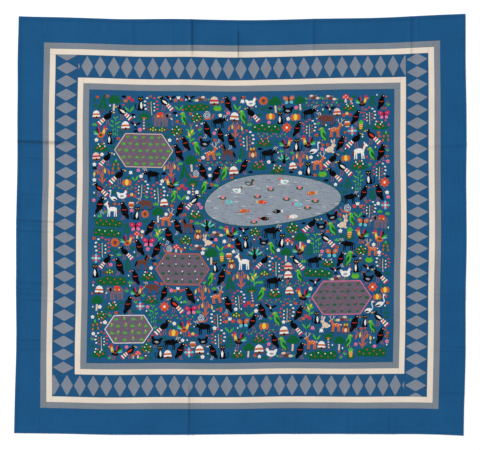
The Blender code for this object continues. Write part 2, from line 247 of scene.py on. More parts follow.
class StoryClothColours(bpy.types.PropertyGroup):
    """Colours of the cottons and the flosses."""

    border_blue: colour("Border blue", 24, 84, 131)
    frame_grey: colour("Frame grey", 124, 133, 143)
    frame_cream: colour("Frame cream", 229, 217, 202)
    band_blue: colour("Band blue", 29, 82, 125)
    field_blue: colour("Field blue", 28, 84, 125)
    lozenge_grey: colour("Lozenge grey", 126, 134, 147)
    sewing: colour("Sewing thread", 26, 66, 104)
    black: colour("Black floss", 7, 6, 8)
    white: colour("White floss", 233, 230, 225)
    cream: colour("Cream floss", 220, 196, 172)
    lime: colour("Lime floss", 80, 176, 44)
    green: colour("Green floss", 2, 92, 48)
    magenta: colour("Magenta floss", 194, 28, 80)
    red: colour("Red floss", 216, 60, 42)
    orange: colour("Orange floss", 202, 98, 42)
    brown: colour("Brown floss", 104, 58, 48)
    mauve: colour("Mauve floss", 108, 94, 110)
    pink: colour("Pink floss", 226, 120, 156)
    teal: colour("Teal floss", 104, 192, 198)
    yellow: colour("Yellow floss", 230, 198, 82)
    silver: colour("Silver floss", 143, 153, 165)


class StoryClothLayout(bpy.types.PropertyGroup):
    """How the motifs are set out on the field."""

    seed: IntProperty(name="Seed", description="Which shuffle of the motifs is sewn", default=11, min=0)
    margin: length("Margin", "Bare cloth between the motifs and the field's edge", 12.0)


def sizes():
    return bpy.context.scene.story_cloth_sizes


def colours():
    return bpy.context.scene.story_cloth_colours


# How the cut is laid.


def between(low, high, share):
    """The value that lies that share of the way from low to high."""
    return low + (high - low) * share


def smooth_step(share):
    """0 below 0, 1 above 1, and smooth in between: three squares less two cubes."""
    share = np.clip(share, 0, 1)
    return share * share * (3 - 2 * share)


def hill(place, x, y):
    """How much of a pull or a swell is left at a point: one less the smooth step of the distance over its
    reach, so 1 in its middle and 0 from its reach on."""
    return 1 - smooth_step(np.hypot((x - place.x) / place.reach_x, (y - place.y) / place.reach_y))


def ease_at(x, y):
    """How far a point of the cut moves in plan: the top edge sags between its corners, the lower part leans
    left, the right edge bows out, each as a low power of the place, two sine waves run along the edges, and
    each pull adds its own share."""
    u = x / HALF_WIDTH
    v = y / HALF_HEIGHT
    left_edge = -0.0023 + 0.0104 * v
    right_edge = -0.0034 + 0.0034 * v + 0.0083 * (1 - v * v)
    top_edge = -0.0112 + 0.0045 * u + 0.0225 * u * u
    bottom_edge = -0.0010 + 0.0070 * u - 0.0012 * u * u - 0.0130 * u**3
    wave_x = 0.0012 * np.sin(2 * np.pi * y / 0.52 + 0.4 + 2.0 * x)
    wave_y = 0.0013 * np.sin(2 * np.pi * x / 0.55 + 1.1 + 3.0 * y)
    hills = [hill(pull, x, y) for pull in PULLS]
    return (
        between(left_edge, right_edge, (1 + u) / 2) + wave_x + sum(p.dx * h for p, h in zip(PULLS, hills)),
        between(bottom_edge, top_edge, (1 + v) / 2) + wave_y + sum(p.dy * h for p, h in zip(PULLS, hills)),
    )


def outline_middle():
    """The middle of the laid outline's bounding box, over the same stations as the solids."""
    columns = np.linspace(-HALF_WIDTH, HALF_WIDTH, EASE_COLUMNS + 1)
    rows = np.linspace(-HALF_HEIGHT, HALF_HEIGHT, EASE_ROWS + 1)
    x, y = np.meshgrid(columns, rows)
    dx, dy = ease_at(x, y)
    return tuple((place.min() + place.max()) / 2 for place in (x + dx, y + dy))


MIDDLE_X, MIDDLE_Y = outline_middle()


def crease_off(crease, x, y):
    """How far points lie from a crease's line, as a share of its half width, and how much of it is there:
    two smooth steps over the places where it begins and ends."""
    off, run = (x - crease.at, y) if crease.along == "y" else (y - crease.at, x)
    begun = smooth_step((run - crease.start) / CREASE_FADE + 1)
    left = smooth_step((crease.end - run) / CREASE_FADE + 1)
    return off / crease.half_width, begun * left


def crease_lift(crease, x, y):
    """A ridge is the square of what is left of the way to its foot. A valley is that times the way from its
    line, scaled to a height of 1, so it has a shoulder on each side of a sharp trough."""
    share, there = crease_off(crease, x, y)
    share = np.abs(share)
    rest = np.clip(1 - share, 0, 1) ** 2
    profile = rest if crease.fold == "ridge" else 6.75 * share * rest
    return crease.height * profile * there


def lift(x, y):
    """How far the cloth stands off the surface: its tallest crease and its tallest swell, added."""
    creases = np.maximum.reduce([crease_lift(crease, x, y) for crease in CREASES])
    return creases + np.maximum.reduce([swell.height * hill(swell, x, y) for swell in SWELLS])


def painted_shade_and_soil(x, y):
    """How dark the cloth is painted: soil and painted shade by its creases, and painted shade along its hem
    line, a bell over the distance from each. A crease's bell is as wide as its fold is soft, and lies a
    little off its line, on the shaded flank."""
    inside = np.minimum(HALF_WIDTH - np.abs(x), HALF_HEIGHT - np.abs(y))
    marks = [HEM_PAINTED_SHADE * np.exp(-(((inside - sizes().hem_line) / HEM_PAINTED_SHADE_REACH) ** 2))]
    for crease in CREASES:
        share, there = crease_off(crease, x, y)
        flank = SHADED_FLANK if (crease.along == "y") == (crease.fold == "ridge") else -SHADED_FLANK
        marks.append(crease.soil * there * np.exp(-(((share - flank) / SHADE_AND_SOIL_SHARE) ** 2)))
    return np.maximum.reduce(marks)


def waves(table, x, y):
    """The mean of some straight sine waves, moved up to lie between 0 and 1."""
    total = sum(np.sin(2 * np.pi * (wave.per_x * x + wave.per_y * y) + wave.phase) for wave in table)
    return 0.5 + 0.5 * total / len(table)


def laid(x, y, z):
    """Points of the cut, at heights over the surface, where they lie on the finished cloth."""
    dx, dy = ease_at(x, y)
    return np.stack([x + dx - MIDDLE_X, y + dy - MIDDLE_Y, z], axis=-1)


# The pieces of the cut.


def strip_cut(ring, outer, side):
    """The rectangle of one strip, whose outer edge lies at the inset outer from the cloth's edge."""
    inner = outer + ring.width

    def end(corner):
        """A strip that runs through a corner ends at the ring's outer edge, the other at its inner edge."""
        return outer if getattr(ring, corner) == side else inner

    if side in ("top", "bottom"):
        sign = 1 if side == "top" else -1
        edges = sorted((sign * (HALF_HEIGHT - inner), sign * (HALF_HEIGHT - outer)))
        cut = (-HALF_WIDTH + end(side + "_left"), HALF_WIDTH - end(side + "_right"), *edges)
    else:
        sign = 1 if side == "right" else -1
        edges = sorted((sign * (HALF_WIDTH - inner), sign * (HALF_WIDTH - outer)))
        cut = (*edges, -HALF_HEIGHT + end("bottom_" + side), HALF_HEIGHT - end("top_" + side))
    half_gap = SEAM_GAP / 2
    left, right, bottom, top = cut
    return Cut(left + half_gap, right - half_gap, bottom + half_gap, top - half_gap)


def hemmed_sides(cut):
    """The sides of a piece that lie along the cloth's outer edge."""
    inset = {
        "top": HALF_HEIGHT - cut.top, "right": HALF_WIDTH - cut.right,
        "bottom": HALF_HEIGHT + cut.bottom, "left": HALF_WIDTH + cut.left,
    }
    return {side for side in SIDES if inset[side] < SEAM_GAP}


def ring_inset(name):
    """How far a ring's outer edge, or the field panel's edge, lies inside the cloth's edge."""
    names = [ring.name for ring in RINGS]
    before = RINGS[: names.index(name)] if name in names else RINGS
    return sum(ring.width for ring in before)


def field_cut():
    """The rectangle of the field panel."""
    half_x = HALF_WIDTH - ring_inset("field_panel") - SEAM_GAP / 2
    half_y = HALF_HEIGHT - ring_inset("field_panel") - SEAM_GAP / 2
    return Cut(-half_x, half_x, -half_y, half_y)


def seam_distance(cut, x, y):
    """How far points of a piece lie from its nearest seam."""
    hemmed = hemmed_sides(cut)
    distance = {"left": x - cut.left, "right": cut.right - x, "bottom": y - cut.bottom, "top": cut.top - y}
    return np.minimum.reduce([distance[side] for side in SIDES if side not in hemmed])


def hem_profile(x, y):
    """The second layer of the hem, 1 over it and 0 inside it, with a groove where it is stitched down."""
    inside = np.minimum(HALF_WIDTH - np.abs(x), HALF_HEIGHT - np.abs(y))
    groove = GROOVE_SHARE * np.exp(-(((inside - sizes().hem_line) / GROOVE_REACH) ** 2))
    return 1 - smooth_step((inside - HEM_WIDTH) / HEM_STEP) - groove


def strip_face(cut, x, y):
    """Height of a strip's face: its layer, lift and waves, with a crown between its seams, a quarter circle
    rolled down along each seam, and the hem along the outer edge."""
    size = sizes()
    distance = np.maximum(seam_distance(cut, x, y), 0)
    half_width = min(cut.right - cut.left, cut.top - cut.bottom) / 2
    crown = size.strip_crown * smooth_step(distance / min(half_width, CROWN_REACH))
    roll = 1 - np.sqrt(np.clip(1 - np.clip(1 - distance / size.seam_roll, 0, 1) ** 2, 0, 1))
    wave = size.wave_height * waves(CLOTH_WAVES, x, y)
    hem = size.hem_rise * hem_profile(x, y)
    return size.strip_top + lift(x, y) + wave + crown - size.seam_depth * roll + hem


def field_face(cut, x, y):
    """Height of the field panel's face: as a strip's, with puckers that fade out towards its seams."""
    size = sizes()
    distance = np.maximum(seam_distance(cut, x, y), 0)
    roll = 1 - np.sqrt(np.clip(1 - np.clip(1 - distance / size.seam_roll, 0, 1) ** 2, 0, 1))
    wave = size.wave_height * waves(CLOTH_WAVES, x, y)
    pucker = size.pucker_height * waves(FIELD_WAVES, x, y) * smooth_step(distance / PUCKER_FADE)
    return size.field_top + lift(x, y) + wave + pucker - (size.seam_depth + FIELD_SEAM_DROP) * roll


# Meshes from arrays.

# How far the points next to a seam, under a hem and on top of it lie from the edge.
SEAM_INSETS = np.array([0, 0.45, 1.1, 2.6]) * MM
UNDER_INSETS = np.array([12.0, 5.0]) * MM
HEM_INSETS = np.array([2.4, 6.0, 11.2, 12.4, 13.6, 15.4]) * MM


def mesh_object(name, points, faces, attributes):
    """A smooth mesh object from an array of points, one of faces, and point attributes by name."""
    mesh = bpy.data.meshes.new(name)
    mesh.vertices.add(len(points))
    mesh.vertices.foreach_set("co", points.astype(np.float32).ravel())
    mesh.loops.add(faces.size)
    mesh.polygons.add(len(faces))
    mesh.polygons.foreach_set("loop_start", np.arange(0, faces.size, faces.shape[1], dtype=np.int32))
    mesh.polygons.foreach_set("vertices", faces.astype(np.int32).ravel())
    mesh.update(calc_edges=True)
    mesh.shade_smooth()
    for key, values in attributes.items():
        kind, slot = ("FLOAT_VECTOR", "vector") if values.ndim == 2 else ("FLOAT", "value")
        layer = mesh.attributes.new(key, kind, "POINT")
        layer.data.foreach_set(slot, values.astype(np.float32).ravel())
    obj = bpy.data.objects.new(name, mesh)
    bpy.context.scene.collection.objects.link(obj)
    return obj


def grid_quads(columns, rows):
    """The faces of a grid whose points are numbered column by column."""
    i, j = np.meshgrid(np.arange(columns - 1), np.arange(rows - 1), indexing="ij")
    first = (i * rows + j).ravel()
    return np.stack([first, first + rows, first + rows + 1, first + 1], axis=1)


def side_profile(hemmed):
    """Insets of the points next to an edge, outermost first, and how far each lies below the face. A seam
    has a few close points. A hem starts under the face and comes round the fold on half a circle."""
    if not hemmed:
        return SEAM_INSETS, np.zeros(len(SEAM_INSETS))
    radius = sizes().hem_radius
    turn = np.linspace(np.pi, 0, 6)
    insets = np.concatenate([UNDER_INSETS, radius * (1 - np.sin(turn)), HEM_INSETS])
    under = np.full(len(UNDER_INSETS), 2 * radius)
    drops = np.concatenate([under, radius * (1 - np.cos(turn)), np.zeros(len(HEM_INSETS))])
    return insets, drops


def stations(cut, axis, step):
    """The lines of points of a sheet along one axis: places and drops. They are the profiles of its two
    edges, even steps between them, and close ones across each crease that reaches the piece."""
    low, high, near_side, far_side = (
        (cut.left, cut.right, "left", "right") if axis == "x" else (cut.bottom, cut.top, "bottom", "top")
    )
    hemmed = hemmed_sides(cut)
    near, near_drop = side_profile(near_side in hemmed)
    far, far_drop = side_profile(far_side in hemmed)
    start, end = low + near[-1], high - far[-1]
    first, last = (cut.bottom, cut.top) if axis == "x" else (cut.left, cut.right)
    lines = [
        crease.at + crease.half_width * CREASE_SHARES
        for crease in CREASES
        if crease.along != axis and crease.start - CREASE_FADE < last and crease.end + CREASE_FADE > first
    ]
    lines = np.concatenate([*lines, [start, end]])
    lines = np.unique(lines[(lines >= start) & (lines <= end)])
    even = np.linspace(start, end, max(2, round((end - start) / step) + 1))
    apart = np.abs(even[:, None] - lines[None, :]).min(axis=1) > LEAST_STEP_SHARE * step
    middle = np.sort(np.concatenate([even[apart], lines[(lines > start) & (lines < end)]]))
    places = np.concatenate([low + near, middle, (high - far)[::-1]])
    drops = np.concatenate([near_drop, np.zeros(len(middle)), far_drop[::-1]])
    return places, drops


def sheet(name, cut, face, step_x, step_y, material):
    """One piece of cotton as a grid over its cut, laid, with its thickness under its face."""
    xs, drop_x = stations(cut, "x", step_x)
    ys, drop_y = stations(cut, "y", step_y)
    x, y = (values.ravel() for values in np.meshgrid(xs, ys, indexing="ij"))
    drop = np.maximum(drop_x[:, None], drop_y[None, :]).ravel()
    z = np.maximum(face(cut, x, y) - drop, sizes().cloth_thick)
    attributes = {
        "cut": np.stack([x, y, np.zeros_like(x)], axis=1),
        # Distance from the nearest seam, for the painted shade deep in it and its gathers.
        "seam": np.maximum(seam_distance(cut, x, y), 0) / MM,
        # Soil and painted shade by the creases, and painted shade along the hem line.
        "soil": painted_shade_and_soil(x, y),
    }
    obj = mesh_object(name, laid(x, y, z), grid_quads(len(xs), len(ys)), attributes)
    obj.data.materials.append(material)
    layer = obj.modifiers.new("thickness", "SOLIDIFY")
    layer.thickness = sizes().cloth_thick
    layer.offset = -1
    return obj


# Stitches.

STITCH_SLOPE = 0.55  # length of the slope at a stitch's tip, as a share of its width
STITCH_SLOPE_MOST = 0.3  # the most it may be, as a share of the stitch's length
STITCH_SINK = 0.00015  # how far the tips lie under the cloth's face
STITCH_LAYER = 0.8  # lift of a layer of stitches, as a share of their rise
STITCH_TRIANGLES = np.array([
    [0, 1, 2], [0, 2, 3], [1, 4, 5], [1, 5, 2], [2, 5, 6], [2, 6, 3], [7, 5, 4], [7, 6, 5],
])


def stitch_mesh(name, ends, over, face, width, rise, material, seed):
    """Stitches as one mesh. Each is a low ridge of eight triangles: a tip where the thread comes up, three
    points across it, three more, and a tip where it goes down. ends holds start and end on the cut, a row
    for each stitch, and over counts the layers of stitches below it."""
    rng = np.random.default_rng(seed)
    count = len(ends)
    start, end = ends[:, :2], ends[:, 2:]
    run = end - start
    span = np.maximum(np.hypot(*run.T), 1e-5)
    along = run / span[:, None]
    side = np.stack([-along[:, 1], along[:, 0]], axis=1)
    half = width / 2 * rng.uniform(0.94, 1.14, count)
    slope = np.minimum(STITCH_SLOPE * width, STITCH_SLOPE_MOST * span)
    sink = -STITCH_SINK
    reach = np.stack([np.zeros(count), *[slope] * 3, *[span - slope] * 3, span], axis=1)
    off = half[:, None] * np.array([0, -1, 0, 1, -1, 0, 1, 0])
    up = np.array([sink, 0, rise, 0, 0, rise, 0, sink]) * rng.uniform(0.85, 1.1, count)[:, None]
    flat = start[:, None, :] + along[:, None, :] * reach[:, :, None] + side[:, None, :] * off[:, :, None]
    x, y = flat[..., 0].ravel(), flat[..., 1].ravel()
    z = face(x, y) + (up + over[:, None] * STITCH_LAYER * rise).ravel()
    faces = (np.arange(count)[:, None, None] * 8 + STITCH_TRIANGLES).reshape(-1, 3)
    tone = np.repeat(rng.uniform(0, 1, count), 8)
    strand = np.stack([reach.ravel() / MM, np.tile([0, -1, 0, 1, -1, 0, 1, 0], count), tone], axis=1)
    obj = mesh_object(name, laid(x, y, z), faces, {"strand": strand})
    obj.data.materials.append(material)
    return obj


# The embroidery's stitches, in millimetres until they are placed on the cut.

THREADS = (
    "black", "white", "cream", "lime", "green", "magenta", "red", "orange", "brown", "mauve", "pink",
    "teal", "yellow", "silver",
)

# A filled outline, whose stitches lean by some degrees, a line of stem stitches, and the stitches that these
# make. over counts the layers of stitches below.
Fill = namedtuple("Fill", "thread outline lean over")
Line = namedtuple("Line", "thread points rows over")
Stitches = namedtuple("Stitches", "ends thread over")

NARROW_LEAF = 7  # width below which a leaf's stitches run along its spine
WIDE_LEAF_LEAN = 62  # angle of a wider leaf's stitches to its spine, in degrees
STEM_STITCH = 4.2  # length of a stem stitch
PARTING_SHIFT = 0.28  # shift of a long row's partings from row to row, as a share of a stitch
ROW_OVERLAP = 0.4  # overlap of such a row's stitches, as a share of the rows' spacing


def bend(points, count=14):
    """The curve of some control points: each pass takes points the same share of the way to the next."""
    share = np.linspace(0, 1, count)[:, None, None]
    layer = np.broadcast_to(np.array(points, float), (count, len(points), 2))
    while layer.shape[1] > 1:
        layer = between(layer[:, :-1], layer[:, 1:], share)
    return layer[:, 0]


def oval(thread, x, y, wide, high, turn=0, over=0):
    """A filled oval with its middle at (x, y), turned by some degrees, stitched across its narrow way."""
    angle = np.linspace(0, 2 * np.pi, 22)[:-1]
    outline = turned(np.stack([wide / 2 * np.cos(angle), high / 2 * np.sin(angle)], axis=1), turn) + (x, y)
    across = turn + (90 if wide > high else 0)
    return Fill(thread, outline, across if min(wide, high) > 5 else across + 90, over)


def leaf(thread, start, end, wide, over=0):
    """A filled leaf from point to point: its half width is a sine of the way along, to the power of 0.8."""
    start, end = np.array(start, float), np.array(end, float)
    share = np.linspace(0, 1, 9)[:, None]
    run = end - start
    side = np.array([-run[1], run[0]]) / np.hypot(*run)
    half = side * wide / 2 * np.sin(np.pi * share) ** 0.8
    spine = start + run * share
    outline = np.concatenate([spine + half, (spine - half)[-2:0:-1]])
    lean = np.degrees(np.arctan2(run[1], run[0]))
    return Fill(thread, outline, lean if wide < NARROW_LEAF else lean + WIDE_LEAF_LEAN, over)


def shape(thread, *points, lean=0, over=0):
    """A filled outline with straight sides."""
    return Fill(thread, np.array(points, float), lean, over)


def line(thread, *points, rows=1, over=0):
    """A line of stem stitches along the curve of its control points."""
    return Line(thread, bend(points), rows, over)


def bands(threads, start, end, start_wide, end_wide, over=0):
    """A strip from point to point in bands of colour, as wide at each end as given."""
    start, end = np.array(start, float), np.array(end, float)
    run = end - start
    side = np.array([-run[1], run[0]]) / np.hypot(*run) / 2
    lean = np.degrees(np.arctan2(side[1], side[0]))
    share = np.linspace(0, 1, len(threads) + 1)
    spine = start + run * share[:, None]
    half = side * between(start_wide, end_wide, share)[:, None]
    near, far = spine + half, spine - half
    return [
        Fill(thread, np.array([near[i], near[i + 1], far[i + 1], far[i]]), lean, over)
        for i, thread in enumerate(threads)
    ]


def petals(thread, x, y, reach, count, wide, inner=0.0, turn=0.0, over=0):
    """Leaves set round a middle."""
    angle = np.radians(turn) + 2 * np.pi * np.arange(count) / count
    ray = np.stack([np.cos(angle), np.sin(angle)], axis=1)
    return [leaf(thread, (x, y) + inner * one, (x, y) + reach * one, wide, over) for one in ray]


def turned(points, degrees):
    """Points turned about (0, 0)."""
    angle = np.radians(degrees)
    return points @ np.array([[np.cos(angle), np.sin(angle)], [-np.sin(angle), np.cos(angle)]])


def fill_stitches(part, spacing, longest):
    """Rows of stitches across an outline: the outline is turned so that they are level, each row is cut
    where it crosses the outline, and a long row is parted where the next rows are not, into stitches that
    overlap."""
    corners = turned(part.outline, -part.lean)
    ahead = np.roll(corners, -1, axis=0)
    low, high = corners[:, 1].min(), corners[:, 1].max()
    count = max(1, round((high - low) / spacing))
    rows = []
    for number, level in enumerate(low + (np.arange(count) + 0.5) * (high - low) / count):
        crossed = (corners[:, 1] > level) != (ahead[:, 1] > level)
        a, b = corners[crossed], ahead[crossed]
        cuts = np.sort(a[:, 0] + (level - a[:, 1]) * (b[:, 0] - a[:, 0]) / (b[:, 1] - a[:, 1]))
        for start, end in zip(cuts[::2], cuts[1::2]):
            parts = max(1, int(np.ceil((end - start) / longest)))
            breaks = np.linspace(start, end, parts + 1)
            breaks[1:-1] += (number % 3 - 1) * PARTING_SHIFT * (end - start) / parts
            starts, ends = breaks[:-1].copy(), breaks[1:].copy()
            starts[1:] -= ROW_OVERLAP * spacing
            ends[:-1] += ROW_OVERLAP * spacing
            level_again = np.full(parts, level)
            rows.append(np.stack([starts, level_again, ends, level_again], axis=1))
    return turned(np.concatenate(rows).reshape(-1, 2), part.lean).reshape(-1, 4)


def line_stitches(part, spacing):
    """Stitches end to end along each row of a line, with the rows side by side."""
    legs = np.hypot(*np.diff(part.points, axis=0).T)
    at = np.concatenate([[0], np.cumsum(legs)])
    even = np.linspace(0, at[-1], max(1, round(at[-1] / STEM_STITCH)) + 1)
    path = np.stack([np.interp(even, at, values) for values in part.points.T], axis=1)
    run = np.gradient(path, axis=0)
    side = np.stack([-run[:, 1], run[:, 0]], axis=1) / np.maximum(np.hypot(*run.T), 1e-6)[:, None]
    rows = [path + side * spacing * (row - (part.rows - 1) / 2) for row in range(part.rows)]
    return np.concatenate([np.concatenate([row[:-1], row[1:]], axis=1) for row in rows])


def sewn(parts, spacing, longest):
    """All stitches of a motif, in millimetres: their ends, their threads and the layers below them."""
    made = [
        fill_stitches(part, spacing, longest) if isinstance(part, Fill) else line_stitches(part, spacing)
        for part in parts
    ]
    lengths = [len(one) for one in made]
    return Stitches(
        np.concatenate(made),
        np.repeat([THREADS.index(part.thread) for part in parts], lengths),
        np.repeat([float(part.over) for part in parts], lengths),
    )


# The motifs, each drawn in millimetres over a ground line at y = 0, and facing right.


def beast(hide, body, legs, neck, head, muzzle, hoof="black"):
    """An animal's body, legs, neck and head. body and head give middle, width, height and turn, legs the
    middle of each foot, neck the point where it leaves the body."""
    x, y, wide, high = body[:4]
    parts = [oval(hide, *body)]
    for i, foot in enumerate(legs):
        hip = x + wide * (-0.38, -0.26, 0.25, 0.36)[i]
        parts.append(shape(hide, (hip - 3, y), (hip + 3, y), (foot + 2, 3), (foot - 2, 3)))
        parts.append(shape(hoof, (foot - 2.4, 3), (foot + 2.4, 3), (foot + 2.8, 0), (foot - 2.4, 0)))
    parts.append(leaf(hide, neck, (head[0], head[1]), high * 0.62))
    parts.append(oval(hide, *head))
    parts.append(oval(muzzle, head[0] + head[2] * 0.40, head[1] - head[2] * 0.16, 4.5, 5, 0, 1))
    parts.append(oval("white", head[0] + 1, head[1] + 2, 2.4, 2.4, 0, 1))
    return parts


def bull(hide="brown", muzzle="cream"):
    """A humped bull with horns."""
    return [
        *beast(hide, (-2, 25, 42, 20), (-19, -12, 9, 15), (14, 28), (24, 30, 17, 12, -25), muzzle),
        oval(hide, 6, 34, 14, 9),
        line("cream", (19, 36), (15, 44), (24, 46), rows=2),
        line("cream", (24, 37), (24, 44), (32, 45), rows=2),
        line(hide, (-22, 30), (-29, 26), (-26, 8), rows=2),
        oval("black", -26, 8, 4, 7),
    ]


def horse(hide="brown", mane="black"):
    """A horse with its head up."""
    return [
        *beast(hide, (-2, 31, 36, 17), (-17, -10, 8, 15), (9, 32), (19, 51, 19, 10, -35), "cream"),
        shape(hide, (5, 30), (17, 34), (20, 52), (11, 54), lean=20),
        shape(mane, (6, 37), (9, 34), (16, 53), (13, 58), (9, 54), (5, 44), lean=15, over=1),
        leaf(hide, (14, 54), (16, 62), 4),
        leaf(mane, (-18, 36), (-27, 10), 8),
    ]


def deer(hide="orange"):
    """A spotted deer with antlers."""
    spots = [oval("white", x, y, 3, 3, 0, 1) for x, y in ((-12, 31), (-5, 34), (1, 30), (-8, 26), (7, 33))]
    return [
        *beast(hide, (-2, 29, 32, 15), (-15, -9, 8, 13), (9, 30), (17, 45, 14, 8, -20), "cream"),
        shape(hide, (6, 28), (14, 31), (18, 46), (12, 47), lean=20),
        *spots,
        line("cream", (14, 48), (6, 54), (8, 65), rows=2),
        line("cream", (16, 49), (22, 55), (18, 66), rows=2),
        line("cream", (9, 57), (3, 58), (1, 62)),
        line("cream", (20, 58), (26, 59), (27, 63)),
        leaf("white", (-17, 32), (-23, 28), 4),
    ]


def elephant(hide="mauve"):
    """An elephant with a red cloth on its back."""
    return [
        oval(hide, -4, 30, 46, 28),
        *[shape(hide, (x - 5, 24), (x + 5, 24), (x + 5, 0), (x - 5, 0)) for x in (-20, -8, 6, 16)],
        oval(hide, 22, 36, 22, 21),
        line(hide, (30, 36), (38, 24), (33, 10), (38, 4), rows=4),
        oval("black", 18, 35, 9, 13, 10, 1),
        leaf("white", (28, 28), (36, 22), 3.5, 1),
        oval("white", 27, 40, 3, 3, 0, 1),
        shape("red", (-15, 46), (5, 47), (7, 30), (-17, 29), over=1),
        *bands(("yellow", "magenta", "lime"), (-14, 34), (5, 35), 5, 5, 2),
        line(hide, (-26, 32), (-32, 24), (-29, 14)),
    ]


def cat(fur="black", chest="white"):
    """A cat that sits with its tail round its feet."""
    return [
        line(fur, (-10, 4), (-22, 4), (-20, 20), (-16, 24), rows=3),
        shape(fur, (-11, 0), (10, 0), (8, 16), (4, 30), (-5, 30), (-11, 14)),
        oval(fur, 0, 37, 18, 15),
        shape(fur, (-8, 38), (-8, 49), (-1, 42)),
        shape(fur, (8, 38), (8, 49), (1, 42)),
        leaf(chest, (1, 4), (1, 29), 8, 1),
        oval("yellow", -4, 39, 3.2, 3.2, 0, 1),
        oval("yellow", 4, 39, 3.2, 3.2, 0, 1),
        oval("pink", 0, 34, 3, 2.4, 0, 1),
    ]


def rabbit(fur="cream"):
    """A rabbit that sits up."""
    return [
        oval(fur, -3, 12, 26, 20, 20),
        oval(fur, 9, 25, 14, 13),
        leaf(fur, (7, 29), (1, 46), 6),
        leaf(fur, (11, 30), (12, 47), 6),
        oval("white", -16, 11, 8, 8),
        oval("black", 12, 27, 2.6, 2.6, 0, 1),
        shape(fur, (2, 0), (12, 0), (10, 6), (3, 8)),
        leaf("pink", (10.6, 32), (11.6, 43), 2.4, 1),
    ]


def magpie(coat="black", wing="white"):
    """A long-tailed bird whose tail is banded in many colours."""
    tail = (coat, "white", "red", "white", "green", "white", "magenta")
    return [
        *bands(tail, (-3, 24), (-25, 1), 11, 18),
        oval(coat, 4, 29, 30, 21, 35),
        oval(coat, 15, 45, 14, 13),
        leaf(wing, (-7, 22), (12, 36), 8, 1),
        shape("yellow", (21, 48), (30, 44), (20, 42)),
        oval("white", 17, 47, 3.2, 3.2, 0, 1),
        line("orange", (3, 20), (1, 8), (1, 0), (6, 0)),
        line("orange", (9, 20), (9, 8), (9, 0), (14, 0)),
    ]


def cock(coat="orange"):
    """A cock with a curved tail."""
    feathers = (
        ("teal", (-27, 28)), ("lime", (-27, 37)), ("green", (-23, 46)), ("black", (-16, 52)),
        ("magenta", (-9, 55)),
    )
    return [
        *[leaf(thread, (-5, 26), tip, 7) for thread, tip in feathers],
        oval(coat, 1, 24, 27, 20, 20),
        shape("yellow", (2, 26), (14, 26), (17, 47), (10, 48), lean=15),
        oval("red", 14, 47, 12, 11),
        shape("magenta", (8, 50), (9, 58), (12, 54), (15, 60), (17, 54), (20, 57), (19, 50)),
        oval("magenta", 19, 40, 4, 7, 0, 1),
        shape("yellow", (19, 49), (26, 46), (19, 44)),
        oval("black", 15, 48, 2.6, 2.6, 0, 1),
        leaf("brown", (-7, 22), (8, 27), 9, 1),
        line("orange", (0, 16), (0, 6), (-1, 0), (5, 0)),
        line("orange", (6, 16), (7, 6), (7, 0), (12, 0)),
    ]


def hen(coat="white"):
    """A plump hen."""
    return [
        leaf(coat, (-6, 18), (-20, 32), 11),
        oval(coat, 0, 18, 31, 21),
        leaf(coat, (8, 20), (13, 36), 10),
        oval(coat, 13, 33, 10, 10),
        shape("red", (9, 37), (11, 43), (13, 39), (16, 43), (17, 37)),
        shape("orange", (17, 35), (23, 32), (17, 30)),
        oval("black", 14, 34, 2.4, 2.4, 0, 1),
        leaf("silver", (-9, 16), (7, 19), 8, 1),
        line("orange", (-1, 9), (-1, 0), (4, 0)),
        line("orange", (4, 9), (5, 0), (10, 0)),
    ]


def parrot(coat="lime", beak="red"):
    """An upright parrot on a twig."""
    return [
        line("brown", (-16, 6), (0, 2), (17, 7), rows=2),
        leaf("green", (-4, 26), (-12, -2), 8),
        leaf(coat, (-1, 26), (-5, 0), 7),
        oval(coat, 2, 26, 18, 33, -14),
        oval(coat, 7, 43, 15, 14),
        leaf("green", (4, 34), (-6, 12), 10, 1),
        shape(beak, (13, 47), (19, 44), (17, 38), (13, 40)),
        oval("white", 9, 45, 4, 4, 0, 1),
        oval("black", 9.3, 45, 1.8, 1.8, 0, 2),
        line("yellow", (5, 8), (5, 3)),
    ]


def heron(coat="white"):
    """A tall wading bird."""
    return [
        leaf(coat, (-20, 24), (8, 34), 17),
        line(coat, (6, 32), (16, 40), (2, 50), (9, 58), rows=3),
        oval(coat, 10, 59, 9, 7),
        shape("orange", (13, 61), (25, 57), (13, 57)),
        leaf("black", (-20, 24), (-2, 27), 6, 1),
        oval("black", 11, 60, 2, 2, 0, 1),
        line("black", (-4, 24), (-4, 0), (1, 0)),
        line("black", (0, 25), (1, 14), (-1, 10)),
    ]


def swallow(coat="black"):
    """A bird on the wing, seen from above."""
    return [
        leaf(coat, (0, 12), (-23, 22), 9),
        leaf(coat, (0, 12), (20, 24), 9),
        leaf(coat, (2, 20), (-3, 2), 9),
        leaf(coat, (-2, 6), (-9, -4), 4),
        leaf(coat, (-2, 6), (3, -5), 4),
        leaf("white", (1, 17), (-2, 7), 4.5, 1),
        oval("red", 3, 20, 6, 6),
    ]


def owl(coat="brown"):
    """An owl that sits on a branch."""
    return [
        line("brown", (-18, 3), (0, 1), (18, 4), rows=2),
        oval(coat, 0, 20, 26, 32),
        leaf("orange", (-9, 28), (-11, 6), 7, 1),
        leaf("orange", (9, 28), (11, 6), 7, 1),
        oval("cream", 0, 15, 12, 16, 0, 1),
        oval(coat, 0, 36, 24, 15),
        oval("yellow", -5, 36, 8, 8, 0, 1),
        oval("yellow", 5, 36, 8, 8, 0, 1),
        oval("black", -5, 36, 3, 3, 0, 2),
        oval("black", 5, 36, 3, 3, 0, 2),
        shape("orange", (-2, 33), (2, 33), (0, 28), over=2),
    ]


def duck(coat="white", head="green", over=0):
    """A swimming duck."""
    return [
        leaf(coat, (-17, 12), (12, 6), 14, over),
        shape(coat, (2, 8), (10, 8), (11, 20), (6, 20), lean=10, over=over),
        oval(head, 10, 20, 10, 9, 0, over),
        shape("orange", (14, 21), (21, 19), (14, 17), over=over),
        leaf("teal", (-11, 10), (4, 8), 6, over + 1),
        line("white", (-20, 2), (0, -1), (20, 2), over=over),
    ]


